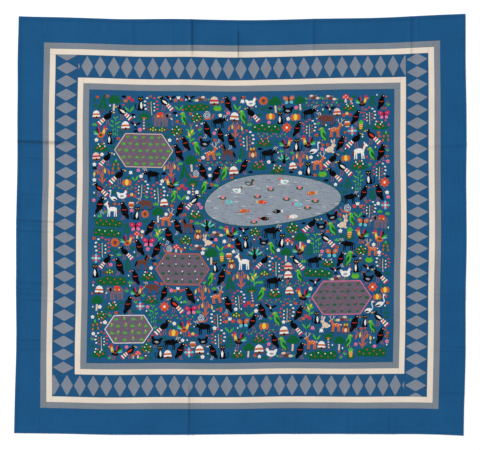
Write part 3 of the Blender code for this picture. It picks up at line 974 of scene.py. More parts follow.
def peacock():
    """A peacock with its tail spread."""
    middle = np.array([-2, 20])
    rays = [np.array([np.cos(angle), np.sin(angle)]) for angle in np.radians(np.linspace(10, 170, 9))]
    return [
        *[leaf("teal" if i % 2 else "green", middle, middle + 31 * ray, 8) for i, ray in enumerate(rays)],
        *[oval("magenta", *(middle + 26 * ray), 4, 4, 0, 1) for ray in rays],
        oval("black", 0, 18, 14, 22, 0, 1),
        leaf("black", (0, 22), (3, 42), 7, 1),
        oval("black", 4, 42, 7, 7, 0, 1),
        shape("yellow", (7, 44), (12, 41), (7, 40), over=1),
        line("orange", (-3, 8), (-3, 0), (2, 0)),
        line("orange", (3, 8), (3, 0), (8, 0)),
    ]


def butterfly(wing="magenta", spot="yellow"):
    """A butterfly with its wings open."""
    return [
        *[oval(wing, 11 * s, 24, 20, 15, 35 * s) for s in (-1, 1)],
        *[oval(spot, 8 * s, 10, 13, 11, -30 * s) for s in (-1, 1)],
        *[oval(spot, 12 * s, 25, 6, 5, 0, 1) for s in (-1, 1)],
        leaf("black", (0, 3), (0, 30), 5, 1),
        line("black", (0, 28), (-6, 34)),
        line("black", (0, 28), (6, 34)),
    ]


def snail(shell="white"):
    """A snail whose shell is a coiled line."""
    angle = np.linspace(0, 4.6 * np.pi, 60)
    reach = 2.0 + 0.72 * angle
    coil = np.stack([-4 + reach * np.cos(angle), 14 + reach * np.sin(angle)], axis=1)
    return [
        Line(shell, coil, 2, 0),
        Line("black", coil + (0.9, -0.9), 1, 0),
        leaf("orange", (-16, 2), (18, 3), 5),
        leaf("orange", (12, 3), (19, 13), 4),
        line("orange", (18, 12), (17, 18)),
        line("orange", (19, 12), (23, 17)),
    ]


def fish(scale="teal", fin="orange", over=0):
    """A fish."""
    return [
        shape(fin, (-10, 8), (-20, 15), (-17, 8), (-20, 1), over=over),
        leaf(scale, (-13, 8), (17, 8), 14, over),
        oval("white", 10, 10, 3, 3, 0, over + 1),
        line(fin, (4, 13), (6, 8), (4, 3), over=over + 1),
    ]


def tortoise(shell="green"):
    """A tortoise."""
    return [
        *[shape("brown", (x - 3, 8), (x + 3, 8), (x + 3, 0), (x - 3, 0)) for x in (-12, 9)],
        oval("brown", 21, 12, 11, 9),
        shape(shell, (-18, 6), (16, 6), (13, 18), (4, 24), (-6, 24), (-15, 18)),
        *[oval("yellow", x, y, 6, 5, 0, 1) for x, y in ((-10, 12), (-1, 18), (8, 12), (-1, 9))],
        oval("black", 22, 13, 2.2, 2.2, 0, 1),
    ]


def frog(skin="lime"):
    """A frog that crouches."""
    return [
        oval(skin, 0, 12, 28, 17),
        oval(skin, -7, 20, 8, 8),
        oval(skin, 7, 20, 8, 8),
        oval("black", -7, 21, 3, 3, 0, 1),
        oval("black", 7, 21, 3, 3, 0, 1),
        line("green", (-12, 10), (-22, 12), (-18, 1), (-10, 0), rows=3),
        line("green", (12, 10), (22, 12), (18, 1), (10, 0), rows=3),
        line("red", (-7, 11), (0, 7), (7, 11), over=1),
    ]


def round_tree(crown="green", blossom="red", other="white", trunk="brown"):
    """A tree with a round crown full of blossoms."""
    spots = (
        (-12, 36), (0, 33), (12, 37), (-7, 45), (6, 46), (-1, 55), (-15, 46), (14, 48), (-6, 29), (9, 28),
    )
    return [
        shape(trunk, (-3, 26), (3, 26), (4, 0), (-4, 0), lean=90),
        shape("white", (-3.2, 16), (3.4, 16), (3.6, 12), (-3.4, 12), over=1),
        oval(crown, -9, 38, 26, 26),
        oval(crown, 10, 38, 26, 26),
        oval(crown, 0, 48, 28, 25),
        *[oval((blossom, other)[i % 2], x, y, 4.6, 4.6, 0, 1) for i, (x, y) in enumerate(spots)],
    ]


def pine(needles="green", trunk="brown"):
    """A tree of stacked boughs."""
    return [
        shape(trunk, (-2.5, 14), (2.5, 14), (3.5, 0), (-3.5, 0), lean=90),
        *[
            leaf(needles, (0, 26 + 10 * i), (s * (20 - 3.6 * i), 10 + 10 * i), 9.5 - i)
            for i in range(4) for s in (-1, 1)
        ],
        leaf(needles, (0, 42), (0, 66), 8),
    ]


def palm(frond="green", trunk="brown"):
    """A palm."""
    tips = ((-25, 40), (-23, 54), (-10, 64), (6, 66), (20, 58), (25, 45), (-16, 30), (17, 32))
    return [
        *bands((trunk, "cream") * 4 + (trunk,), (2, 0), (-1, 44), 7, 5),
        *[leaf(frond, (0, 46), tip, 7.5) for tip in tips],
        *[oval("orange", x, 42, 5, 5, 0, 1) for x in (-4, 1, 5)],
    ]


def reed(stalk="lime", joint="green"):
    """A stand of tall jointed reeds."""
    stems = [
        part
        for x, top in ((-7, 56), (0, 66), (7, 52))
        for part in bands((stalk, stalk, joint) * 4, (x, 0), (x * 1.3, top), 3.4, 2.6)
    ]
    blades = (
        (-8, 30, -11), (-8, 46, -10), (0, 40, 10), (8, 26, 11), (8, 44, 10), (0, 58, -9), (0, 60, 9),
    )
    return [*stems, *[leaf(stalk, (x, y), (x + dx, y + 7), 4) for x, y, dx in blades]]


def millet(stem="lime", ear="yellow"):
    """A plant whose ears hang from arching stems."""
    arches = (
        ((0, 0), (-4, 58), (-22, 46)), ((0, 0), (-3, 76), (-10, 52)), ((0, 0), (4, 80), (12, 50)),
        ((0, 0), (6, 56), (23, 44)),
    )
    ears = [
        leaf(ear if i % 2 else "orange", (x, y), (x * 1.15, y - 19), 6.5)
        for i, (x, y) in enumerate(arch[-1] for arch in arches)
    ]
    return [
        *[line(stem, *arch, rows=2) for arch in arches],
        *ears,
        leaf(stem, (0, 4), (-14, 20), 4),
        leaf(stem, (0, 4), (14, 21), 4),
    ]


def bush(leaves="green", blossom="red", other="white"):
    """A low bush with blossoms."""
    spots = ((-13, 14), (-4, 20), (6, 13), (14, 20), (0, 9), (-9, 27), (4, 29), (11, 30))
    angles = np.radians(np.linspace(14, 166, 7))
    return [
        *[leaf(leaves, (0, 2), (33 * np.cos(angle), 2 + 34 * np.sin(angle)), 10) for angle in angles],
        *[oval((blossom, other)[i % 2], x, y, 5.4, 5.4, 0, 1) for i, (x, y) in enumerate(spots)],
    ]


def hedge(leaves="green", blossom="red", other="orange"):
    """A long clipped hedge with a few blossoms."""
    tops = ((-34, 13, 36, 24), (-14, 17, 34, 30), (8, 14, 34, 26), (30, 16, 36, 28))
    spots = ((-40, 15), (-27, 9), (-16, 22), (-6, 10), (7, 19), (17, 8), (27, 21), (39, 12))
    return [
        shape(leaves, (-48, 0), (46, 0), (46, 10), (-48, 10)),
        *[oval(leaves, *top) for top in tops],
        *[oval((blossom, other)[i % 2], x, y, 4.6, 4.6, 0, 1) for i, (x, y) in enumerate(spots)],
    ]


def tulips(first="magenta", second="red", third="yellow"):
    """Three tulips."""
    cup = np.array([(-5, 0), (5, 0), (6, 12), (2, 8), (0, 13), (-2, 8), (-6, 12)])
    parts = []
    for thread, x, top in ((first, -11, 34), (second, 0, 42), (third, 11, 33)):
        parts.append(line("green", (x * 0.3, 0), (x, top * 0.4), (x, top), rows=2))
        parts.append(shape(thread, *(cup + (x, top)), lean=90))
    return [*parts, leaf("lime", (0, 0), (-15, 20), 6), leaf("lime", (0, 0), (15, 20), 6)]


def sunflower(petal="yellow", middle="brown"):
    """One tall flower."""
    return [
        line("green", (0, 0), (2, 22), (0, 44), rows=2),
        leaf("green", (1, 14), (-14, 26), 7),
        leaf("green", (1, 18), (15, 31), 7),
        *petals(petal, 0, 48, 16, 12, 6, 4),
        oval(middle, 0, 48, 13, 13, 0, 1),
    ]


def lily(petal="pink"):
    """A stem with two hanging bells."""
    return [
        line("green", (0, 0), (2, 40), (-3, 52), (-13, 46), rows=2),
        line("green", (1, 22), (6, 44), (15, 38)),
        shape(petal, (-17, 46), (-9, 46), (-6, 33), (-10, 36), (-13, 32), (-16, 36), (-20, 33), lean=90),
        shape("white", (11, 38), (19, 38), (22, 25), (18, 28), (15, 24), (12, 28), (8, 25), lean=90),
        leaf("lime", (0, 0), (-13, 22), 7),
        leaf("lime", (0, 0), (12, 17), 6),
    ]


def jar(clay=("cream", "brown", "orange", "white", "brown"), bloom="magenta"):
    """A banded jar of flowers."""
    return [
        *bands(clay[:3], (0, 0), (0, 12), 12, 24),
        *bands(clay[2:], (0, 12), (0, 25), 24, 11),
        *[line("green", (0, 25), (x * 0.4, 34), (x, 42)) for x in (-11, 0, 11)],
        *petals(bloom, -11, 43, 7, 6, 4),
        *petals("yellow", 0, 48, 7, 6, 4),
        *petals("red", 11, 43, 7, 6, 4),
    ]


def beehive(first="white", second="orange", third="brown"):
    """A straw beehive in bands."""
    return [
        *bands((third, first, second), (0, 0), (0, 19), 32, 27),
        shape(first, (-13.5, 19), (13.5, 19), (9, 27), (0, 31), (-9, 27)),
        oval("black", 0, 5, 7, 7, 0, 1),
    ]


def rowan(berries="red", other="white", trunk="cream"):
    """A slender tree with a berry or a blossom at the end of each twig."""
    twigs = (
        (-19, 20, 9), (19, 23, 11), (-22, 33, 19), (22, 36, 22), (-20, 46, 30), (20, 49, 32), (-12, 58, 38),
        (12, 60, 40), (0, 65, 46),
    )
    return [
        line(trunk, (0, 0), (1, 24), (0, 48), rows=2),
        *[line("green", (0, root), (x * 0.7, root + 4), (x, y), rows=2) for x, y, root in twigs],
        *[oval((berries, other)[i % 2], x, y, 8, 7) for i, (x, y, root) in enumerate(twigs)],
        *[
            oval((other, berries)[i % 2], x * 0.5, (y + root) / 2 + 1, 6, 5, 0, 1)
            for i, (x, y, root) in enumerate(twigs[:6])
        ],
    ]


def elm(crown="green", trunk="cream"):
    """A plain round tree."""
    return [
        shape(trunk, (-2.5, 24), (2.5, 24), (3, 0), (-3, 0), lean=90),
        oval(crown, -8, 36, 26, 24),
        oval(crown, 9, 35, 25, 23),
        oval(crown, 0, 45, 25, 20),
    ]


def crow(coat="black", foot="orange"):
    """An upright black bird."""
    return [
        leaf(coat, (-4, 24), (-15, 1), 13),
        oval(coat, 0, 30, 24, 40, -14),
        oval(coat, 8, 51, 16, 15),
        shape(foot, (14, 54), (25, 49), (14, 47)),
        oval("white", 10, 53, 3.4, 3.4, 0, 1),
        line("red", (-7, 34), (0, 30), (8, 33), rows=2, over=1),
        line(foot, (0, 14), (0, 0), (6, 0)),
        line(foot, (5, 15), (6, 0), (12, 0)),
    ]


def mushroom(cap="red", stalk="cream"):
    """Two mushrooms."""
    return [
        shape(stalk, (-8, 0), (-1, 0), (-2, 14), (-7, 14), lean=90),
        shape(cap, (-17, 13), (8, 13), (5, 23), (-4, 28), (-13, 23)),
        *[oval("white", x, y, 3.6, 3.6, 0, 1) for x, y in ((-10, 18), (-4, 23), (2, 17))],
        shape(stalk, (10, 0), (15, 0), (14, 9), (11, 9), lean=90),
        shape("orange", (5, 8), (20, 8), (17, 14), (12, 16), (8, 14)),
    ]


def star(first="red", second="yellow", middle="white"):
    """An eight-pointed star."""
    return [
        *petals(first, 0, 18, 18, 4, 10, 1, 0),
        *petals(second, 0, 18, 17, 4, 9, 1, 45),
        oval(middle, 0, 18, 8, 8, 0, 1),
    ]


def stones(first="silver", second="cream", third="brown"):
    """A heap of stones."""
    return [
        oval(first, -13, 6, 17, 12),
        oval(third, 3, 7, 17, 13),
        oval(second, 18, 5, 14, 10),
        oval(second, -5, 15, 14, 9),
        oval(first, 10, 15, 13, 8),
        leaf("lime", (-22, 0), (-28, 12), 4),
        leaf("lime", (26, 0), (31, 11), 4),
    ]


def pumpkin(skin="orange"):
    """A pumpkin and its leaf."""
    return [
        oval(skin, -9, 11, 14, 21),
        oval(skin, 9, 11, 14, 21),
        oval("yellow", 0, 12, 13, 22, 0, 1),
        line("green", (0, 22), (0, 29), (7, 30), rows=2),
        leaf("green", (2, 26), (-14, 33), 8),
    ]


def maize(stem="lime"):
    """A maize plant."""
    return [
        line(stem, (0, 0), (0, 58), rows=3),
        *[leaf(stem, (0, y), (s * 17, y + 12), 5.5) for y, s in ((6, -1), (14, 1), (26, -1), (36, 1))],
        leaf("yellow", (1, 20), (9, 38), 7, 1),
        leaf("yellow", (-1, 32), (-9, 48), 7, 1),
        *[line("orange", (0, 56), (x, 67)) for x in (-6, 0, 6)],
    ]


def fern(thread="green"):
    """A fern frond."""
    leaves = [
        leaf(thread, (2.4, 8 + 7 * i), (2.4 + s * (15 - 2 * i), 15 + 7 * i), 5)
        for i in range(5) for s in (-1, 1)
    ]
    return [line(thread, (0, 0), (4, 24), (-2, 46), rows=2), *leaves]


def pepper(fruit="red"):
    """A bushy plant with hanging fruit."""
    return [
        line("green", (0, 0), (0, 34), rows=2),
        *[leaf("green", (0, y), (s * 15, y + 9), 7) for y in (8, 18, 28) for s in (-1, 1)],
        *[leaf(fruit, (x, y), (x + 1.5, y - 12), 5, 1) for x, y in ((-9, 16), (9, 18), (-7, 30), (7, 32))],
        leaf("lime", (0, 30), (0, 44), 7),
    ]


def pineapple():
    """A pineapple in its leaves."""
    return [
        *bands(("orange", "yellow") * 3, (0, 6), (0, 28), 12, 15),
        *[leaf("lime", (0, 27), (x, y), 5) for x, y in ((-11, 38), (-4, 45), (4, 45), (11, 38))],
        *[leaf("green", (0, 0), (x, 13), 6) for x in (-18, 18)],
        *[leaf("green", (0, 0), (x, 22), 5) for x in (-12, 12)],
    ]


def vine(stem="brown", leaves="lime", fruit="red"):
    """A long creeping stem."""
    x = np.linspace(-62, 62, 60)
    stem_line = np.stack([x, 7 + 3.5 * np.sin(x / 9)], axis=1)
    return [
        Line(stem, stem_line, 1, 0),
        *[leaf(leaves, (x, 7), (x + 5, 7 + s * 7), 5) for x, s in zip(range(-56, 56, 16), (1, -1) * 4)],
        *[oval(fruit, x, 7 + s * 5, 5, 5) for x, s in zip(range(-48, 56, 16), (-1, 1) * 4)],
    ]


def blossom(petal="white", middle="yellow"):
    """A small open flower."""
    return [*petals(petal, 0, 7, 7.5, 5, 5.5, 0, 18), oval(middle, 0, 7, 4, 4, 0, 1)]


def sprig(thread="lime", bud="magenta"):
    """A small shoot with a bud."""
    leaves = [leaf(thread, (0, 2), (-7, 11), 4), leaf(thread, (0, 4), (7, 13), 4)]
    return [line(thread, (0, 0), (0, 12)), *leaves, oval(bud, 0, 15, 5.5, 6)]


def tuft(thread="green"):
    """A tuft of grass."""
    return [leaf(thread, (x / 3, 0), (x, y), 3.6) for x, y in ((-9, 9), (-3, 14), (4, 13), (9, 8))]


def berry(thread="red"):
    """A round berry."""
    return [oval(thread, 0, 4, 7, 7)]


def beetle(shell="red"):
    """A small beetle."""
    return [
        oval(shell, 0, 6, 13, 10),
        oval("black", 7, 6, 5, 6),
        line("black", (-6, 6), (5, 6), over=1),
        *[oval("black", -2, y, 2.2, 2.2, 0, 1) for y in (9, 3)],
    ]


# How the motifs are set out on the field, in millimetres from its middle.

# A motif, the threads it is drawn with in place of its own, and how often it comes in each round.
Motif = namedtuple("Motif", "draw threads count")
MOTIFS = (
    Motif(bull, ("brown", "cream"), 1), Motif(bull, ("black", "white"), 3),
    Motif(horse, ("brown", "black"), 1), Motif(horse, ("white", "brown"), 1), Motif(deer, ("orange",), 2),
    Motif(elephant, ("mauve",), 1),
    Motif(cat, ("black", "white"), 4), Motif(rabbit, ("cream",), 1), Motif(magpie, ("black", "black"), 4),
    Motif(magpie, ("black", "white"), 2), Motif(magpie, ("black", "red"), 1),
    Motif(crow, ("black", "orange"), 8), Motif(crow, ("black", "white"), 3), Motif(cock, ("orange",), 1),
    Motif(cock, ("black",), 3),
    Motif(hen, ("white",), 1), Motif(hen, ("black",), 2), Motif(parrot, ("lime", "red"), 3),
    Motif(parrot, ("lime", "orange"), 2), Motif(heron, ("white",), 1), Motif(swallow, ("black",), 2),
    Motif(owl, ("brown",), 1), Motif(peacock, (), 1), Motif(butterfly, ("magenta", "pink"), 1),
    Motif(butterfly, ("orange", "teal"), 1), Motif(snail, ("white",), 1), Motif(tortoise, ("green",), 1),
    Motif(frog, ("lime",), 1), Motif(round_tree, ("green", "red", "white"), 2),
    Motif(elm, ("green", "cream"), 3), Motif(pine, ("green", "brown"), 1),
    Motif(palm, ("green", "brown"), 1), Motif(reed, ("lime", "green"), 1),
    Motif(millet, ("orange", "yellow"), 2), Motif(rowan, ("red", "white", "cream"), 4),
    Motif(bush, ("green", "red", "white"), 3), Motif(bush, ("green", "magenta", "pink"), 1),
    Motif(hedge, ("green", "red", "orange"), 1), Motif(hedge, ("green", "white", "magenta"), 1),
    Motif(tulips, ("magenta", "red", "orange"), 1), Motif(tulips, ("red", "white", "orange"), 1),
    Motif(sunflower, ("orange", "brown"), 1), Motif(lily, ("pink",), 1), Motif(jar, (), 1),
    Motif(beehive, ("white", "orange", "brown"), 3), Motif(beehive, ("cream", "magenta", "brown"), 1),
    Motif(mushroom, ("red", "cream"), 1), Motif(star, ("red", "orange", "white"), 1),
    Motif(star, ("teal", "magenta", "white"), 1), Motif(stones, ("mauve", "cream", "brown"), 2),
    Motif(pumpkin, ("orange",), 2), Motif(maize, ("lime",), 1), Motif(fern, ("green",), 2),
    Motif(pepper, ("orange",), 1), Motif(pineapple, (), 1), Motif(vine, ("brown", "lime", "red"), 2),
)
FILLERS = (
    Motif(blossom, ("white", "yellow"), 2), Motif(blossom, ("pink", "red"), 1),
    Motif(sprig, ("lime", "magenta"), 1), Motif(sprig, ("green", "white"), 2), Motif(tuft, ("green",), 2),
    Motif(tuft, ("lime",), 1), Motif(berry, ("red",), 1), Motif(beetle, ("black",), 1),
    Motif(beetle, ("orange",), 2),
)

# Garden beds: middle, width, height, and the threads of the earth, its edge and its plants.
Bed = namedtuple("Bed", "x y wide high earth edge plant bud")
BEDS = (
    Bed(-440, 345, 262, 150, "mauve", "cream", "lime", "magenta"),
    Bed(-262, -190, 240, 140, "mauve", "orange", "green", "white"),
    Bed(452, -322, 268, 150, "mauve", "pink", "green", "red"),
    Bed(-500, -462, 214, 124, "mauve", "white", "lime", "yellow"),
)
BED_CORNER = 0.62  # how far a level side reaches, as a share of the half width
BED_ROW = 32  # height of the plot for one row of plants
BED_ROW_AT = 0.25  # where a row stands in that height, as a share
BED_PLANT_HALF_PITCH = 13.5  # half the distance from one plant to the next
BED_PLANT_HEIGHT = 14
BED_MARGIN = 15  # from a plant to the edge

# The pond: middle, half width and half height.
POND = (130, 120, 288, 120)
BANK_SCALE = 1.012  # size of the bank's line to the water's
WATER_SHARES = {"silver": 0.968, "white": 0.008, "mauve": 0.024}  # how often each thread is sewn

# What swims in the pond, its threads, its place and whether it faces left.
SWIMMERS = (
    (duck, ("white", "green"), -150, 30, False), (duck, ("brown", "green"), -95, 62, False),
    (duck, ("white", "orange"), 60, 70, True), (fish, ("teal", "orange"), -190, -20, False),
    (fish, ("orange", "red"), -120, -60, True), (fish, ("red", "yellow"), -40, -20, False),
    (fish, ("black", "white"), 30, -62, True), (fish, ("teal", "magenta"), 120, -30, False),
    (fish, ("orange", "yellow"), 185, 20, True), (fish, ("black", "red"), -30, -95, False),
    (fish, ("white", "red"), 100, -85, False),
)
SWIMMER_SCALE = 1.4

# How far the lily pads lie from the pond's middle.
LILY_PADS = ((-60, 15), (0, 48), (130, 55), (165, -35), (-215, 10), (70, 5), (-75, -100), (200, -5))

# Spacing and greatest length of stitches. The ground is the water and the earth.
GROUND_STITCHES = (1.65, 18.0)
BANK_STITCHES = (1.2, 9)
SWIMMER_STITCHES = (1.1, 9)
BED_EDGE_STITCHES = (1.3, 9)
BED_PLANT_STITCHES = (1.25, 9)

CELL = 5.0  # size of the cells in which free places are looked for
PADDING = 32  # cells beyond the field, so that no motif is counted round its edge
MOTIF_SCALE = 1.3  # size of a sewn motif to a drawn one
MOTIF_ROUNDS = 12
FILLER_ROUNDS = 22
SCALE_RANGE = (0.9, 1.08)  # how much smaller or larger a copy may be
TILT_RANGE = (-5, 5)  # how far it may lean, in degrees
PLACE_CHANCE = 1.5  # chance in the height of its place, in cells


def placed(stitches, x, y, scale=1.0, tilt=0.0, flip=False, over=0.0):
    """A copy of a motif's stitches: made larger or smaller, turned round, tilted and moved."""
    ends = stitches.ends.reshape(-1, 2) * (-scale if flip else scale, scale)
    return Stitches((turned(ends, tilt) + (x, y)).reshape(-1, 4), stitches.thread, stitches.over + over)


def pond(rng):
    """An oval pond of long level stitches with some streaks, a green bank, and what lives in it. Its
    outline is an ellipse whose radius swells with two and three waves round it."""
    x, y, half_wide, half_high = POND
    angle = np.linspace(0, 2 * np.pi, 73)[:-1]
    reach = 1 + 0.09 * np.sin(2 * angle + 0.6) + 0.05 * np.sin(3 * angle + 2.0)
    outline = np.stack([half_wide * reach * np.cos(angle), half_high * reach * np.sin(angle)], axis=1)
    water = fill_stitches(Fill("silver", outline, -4, 0), *GROUND_STITCHES)
    choice = [THREADS.index(thread) for thread in WATER_SHARES]
    streaks = rng.choice(choice, len(water), p=list(WATER_SHARES.values()))
    made = [placed(Stitches(water, streaks, np.zeros(len(water))), x, y)]
    bank = np.concatenate([outline, outline[:1]]) * BANK_SCALE
    made.append(placed(sewn([Line("green", bank, 2, 1)], *BANK_STITCHES), x, y))
    for draw, threads, dx, dy, flip in SWIMMERS:
        stitches = sewn(draw(*threads, 1), *SWIMMER_STITCHES)
        made.append(placed(stitches, x + dx, y + dy, SWIMMER_SCALE, rng.uniform(-8, 8), flip))
    pad = [
        oval("green", 0, 0, 25, 13, 0, 1), *petals("pink", 0, 3, 8, 5, 5, 1, 18, 2),
        oval("yellow", 0, 3, 4, 4, 0, 3),
    ]
    pad_stitches = sewn(pad, *BANK_STITCHES)
    for dx, dy in LILY_PADS:
        made.append(placed(pad_stitches, x + dx, y + dy, rng.uniform(1.2, 1.45)))
    return made


def bed(plot, rng):
    """A six-sided plot of earth in long stitches, with a border line and rows of small plants. A row
    reaches as far as the plot does at its level, which narrows evenly from its middle, less a margin."""
    half_wide, half_high = plot.wide / 2, plot.high / 2
    lower = np.array([(-1, 0), (-BED_CORNER, -1), (BED_CORNER, -1)])
    corners = np.concatenate([lower, -lower]) * (half_wide, half_high)
    made = [placed(sewn([Fill(plot.earth, corners, 3, 0)], *GROUND_STITCHES), plot.x, plot.y)]
    edge = np.concatenate([corners, corners[:1]])
    made.append(placed(sewn([Line(plot.edge, edge, 3, 1)], *BED_EDGE_STITCHES), plot.x, plot.y))
    plants = [sewn(drawn, *BED_PLANT_STITCHES) for drawn in (sprig(plot.plant, plot.bud), tuft(plot.plant))]
    rows = max(2, round(plot.high / BED_ROW))
    for row in range(rows):
        level = -half_high + plot.high * (row + BED_ROW_AT) / rows
        narrowest = max(abs(level), abs(level + BED_PLANT_HEIGHT)) / half_high
        reach = half_wide * (1 - (1 - BED_CORNER) * narrowest) - BED_MARGIN
        count = max(2, round(reach / BED_PLANT_HALF_PITCH))
        for number, run in enumerate(np.linspace(-reach, reach, count)):
            x = plot.x + run + rng.uniform(-2, 2)
            scale, tilt = rng.uniform(0.95, 1.15), rng.uniform(-6, 6)
            made.append(placed(plants[(row + number) % 2], x, plot.y + level, scale, tilt, over=1.0))
    return made


def motif(one):
    """The stitches of one kind of motif, at the size and with the stitches that the field has."""
    size = sizes()
    spacing, longest = size.stitch_spacing / MM, size.stitch_longest / MM
    stitches = sewn(one.draw(*one.threads), spacing / MOTIF_SCALE, longest / MOTIF_SCALE)
    return placed(stitches, 0, 0, MOTIF_SCALE)


def cells_of(ends, low):
    """The cells of the plan that some stitches touch, from four points along each."""
    share = np.linspace(0, 1, 4)[:, None, None]
    points = between(ends[None, :, :2], ends[None, :, 2:], share).reshape(-1, 2)
    return np.unique(np.floor((points - low) / CELL).astype(int), axis=0)


def garden(half_wide, half_high, margin, seed):
    """All stitches of the field. The pond and the beds come first. The motifs are then shuffled and set in,
    each in the highest free place that it fits, read from a correlation of its cells with the taken ones,
    until no more fit, and the fillers take what is left. Two sine waves bend the lines of equal height."""
    rng = np.random.default_rng(seed)
    low = np.array([-half_wide, -half_high])
    columns, rows = int(2 * half_wide / CELL), int(2 * half_high / CELL)
    padded = (columns + PADDING, rows + PADDING)
    taken = np.zeros(padded)
    rim = int(np.ceil(margin / CELL))
    taken[:rim] = taken[columns - rim:] = 1
    taken[:, :rim] = taken[:, rows - rim:] = 1
    made = []

    def take(stitches):
        """Keeps a motif where it lies, and marks the cells that it covers."""
        made.append(stitches)
        cells = cells_of(stitches.ends, low)
        taken[cells[:, 0], cells[:, 1]] = 1

    for stitches in [*pond(rng), *(one for plot in BEDS for one in bed(plot, rng))]:
        take(stitches)
    across, up = np.meshgrid(np.arange(padded[0]), np.arange(padded[1]), indexing="ij")
    wave = up + 2.2 * np.sin(across / 19.0) + 1.6 * np.sin(across / 7.3 + 1.0)
    for table, most, order in ((MOTIFS, MOTIF_ROUNDS, wave), (FILLERS, FILLER_ROUNDS, np.zeros(padded))):
        drawn = [motif(one) for one in table for _ in range(one.count)]
        spectrum = np.fft.rfft2(taken)
        for _ in range(most):
            fitted = 0
            for number in rng.permutation(len(drawn)):
                scale, tilt, flip = rng.uniform(*SCALE_RANGE), rng.uniform(*TILT_RANGE), rng.random() < 0.5
                copy = placed(drawn[number], 0, 0, scale, tilt, flip)
                copy = copy._replace(ends=copy.ends - np.tile(copy.ends.reshape(-1, 2).min(axis=0), 2))
                mask = np.zeros(padded)
                cells = cells_of(copy.ends, 0)
                mask[cells[:, 0], cells[:, 1]] = 1
                clash = np.fft.irfft2(spectrum * np.conj(np.fft.rfft2(mask)), padded)
                room = (clash < 0.5) & (across < columns - rim) & (up < rows - rim)
                if not room.any():
                    continue
                score = np.where(room, order + rng.uniform(0, PLACE_CHANCE, padded), -9)
                i, j = np.unravel_index(score.argmax(), padded)
                take(placed(copy, *(low + np.array([i, j]) * CELL)))
                spectrum = np.fft.rfft2(taken)
                fitted += 1
            if not fitted:
                break
    return Stitches(*(np.concatenate(values) for values in zip(*made)))


# Materials.

# How strongly each thing shades the cotton. The last two are the soil and painted shade by the creases with
# the painted shade along the hem, and the painted shade in the depth of a seam.
YARN_SHADE = 0.30
MOTTLE_SHADE = 0.24
SPECK_SHADE = 0.10
WEAVE_SHADE = 0.06
PAINTED_SHADE_AND_SOIL = 0.40
SEAM_PAINTED_SHADE = 0.22

# How fast a seam's painted shade and its gathers fade out, for each millimetre from it.
SEAM_FADE = 1.6
GATHER_FADE = 0.14

# How high each thing stands in the cotton's bump.
WEAVE_BUMP = 0.10
YARN_BUMP = 0.25
GATHER_BUMP = 1.6

FLOSS_GLOSS = 0.11
BLACK_GLOSS = 0.04


def add(material, kind, inputs=(), **settings):
    """A node of that kind. inputs gives, for an input, either a value or the socket that feeds it."""
    node = material.node_tree.nodes.new(kind)
    for key, value in settings.items():
        setattr(node, key, value)
    for key, value in dict(inputs).items():
        if isinstance(value, bpy.types.NodeSocket):
            material.node_tree.links.new(value, node.inputs[key])
        else:
            node.inputs[key].default_value = value
    return node


def sums(material, operation, first, second=0.0, third=0.0):
    """One sum on numbers or sockets."""
    return add(material, "ShaderNodeMath", {0: first, 1: second, 2: third}, operation=operation).outputs[0]


def noise(material, place, scale, detail):
    """Smooth noise between 0 and 1."""
    inputs = {"Vector": place, "Scale": scale, "Detail": detail}
    return add(material, "ShaderNodeTexNoise", inputs).outputs[0]


def bump(material, height, strength, distance):
    """The normal of a surface with that much relief."""
    inputs = {"Height": height, "Strength": strength, "Distance": distance}
    return add(material, "ShaderNodeBump", inputs).outputs[0]


def new_material(name):
    """An empty node material, with its shader."""
    material = bpy.data.materials.new(name)
    material.use_nodes = True
    return material, material.node_tree.nodes["Principled BSDF"]


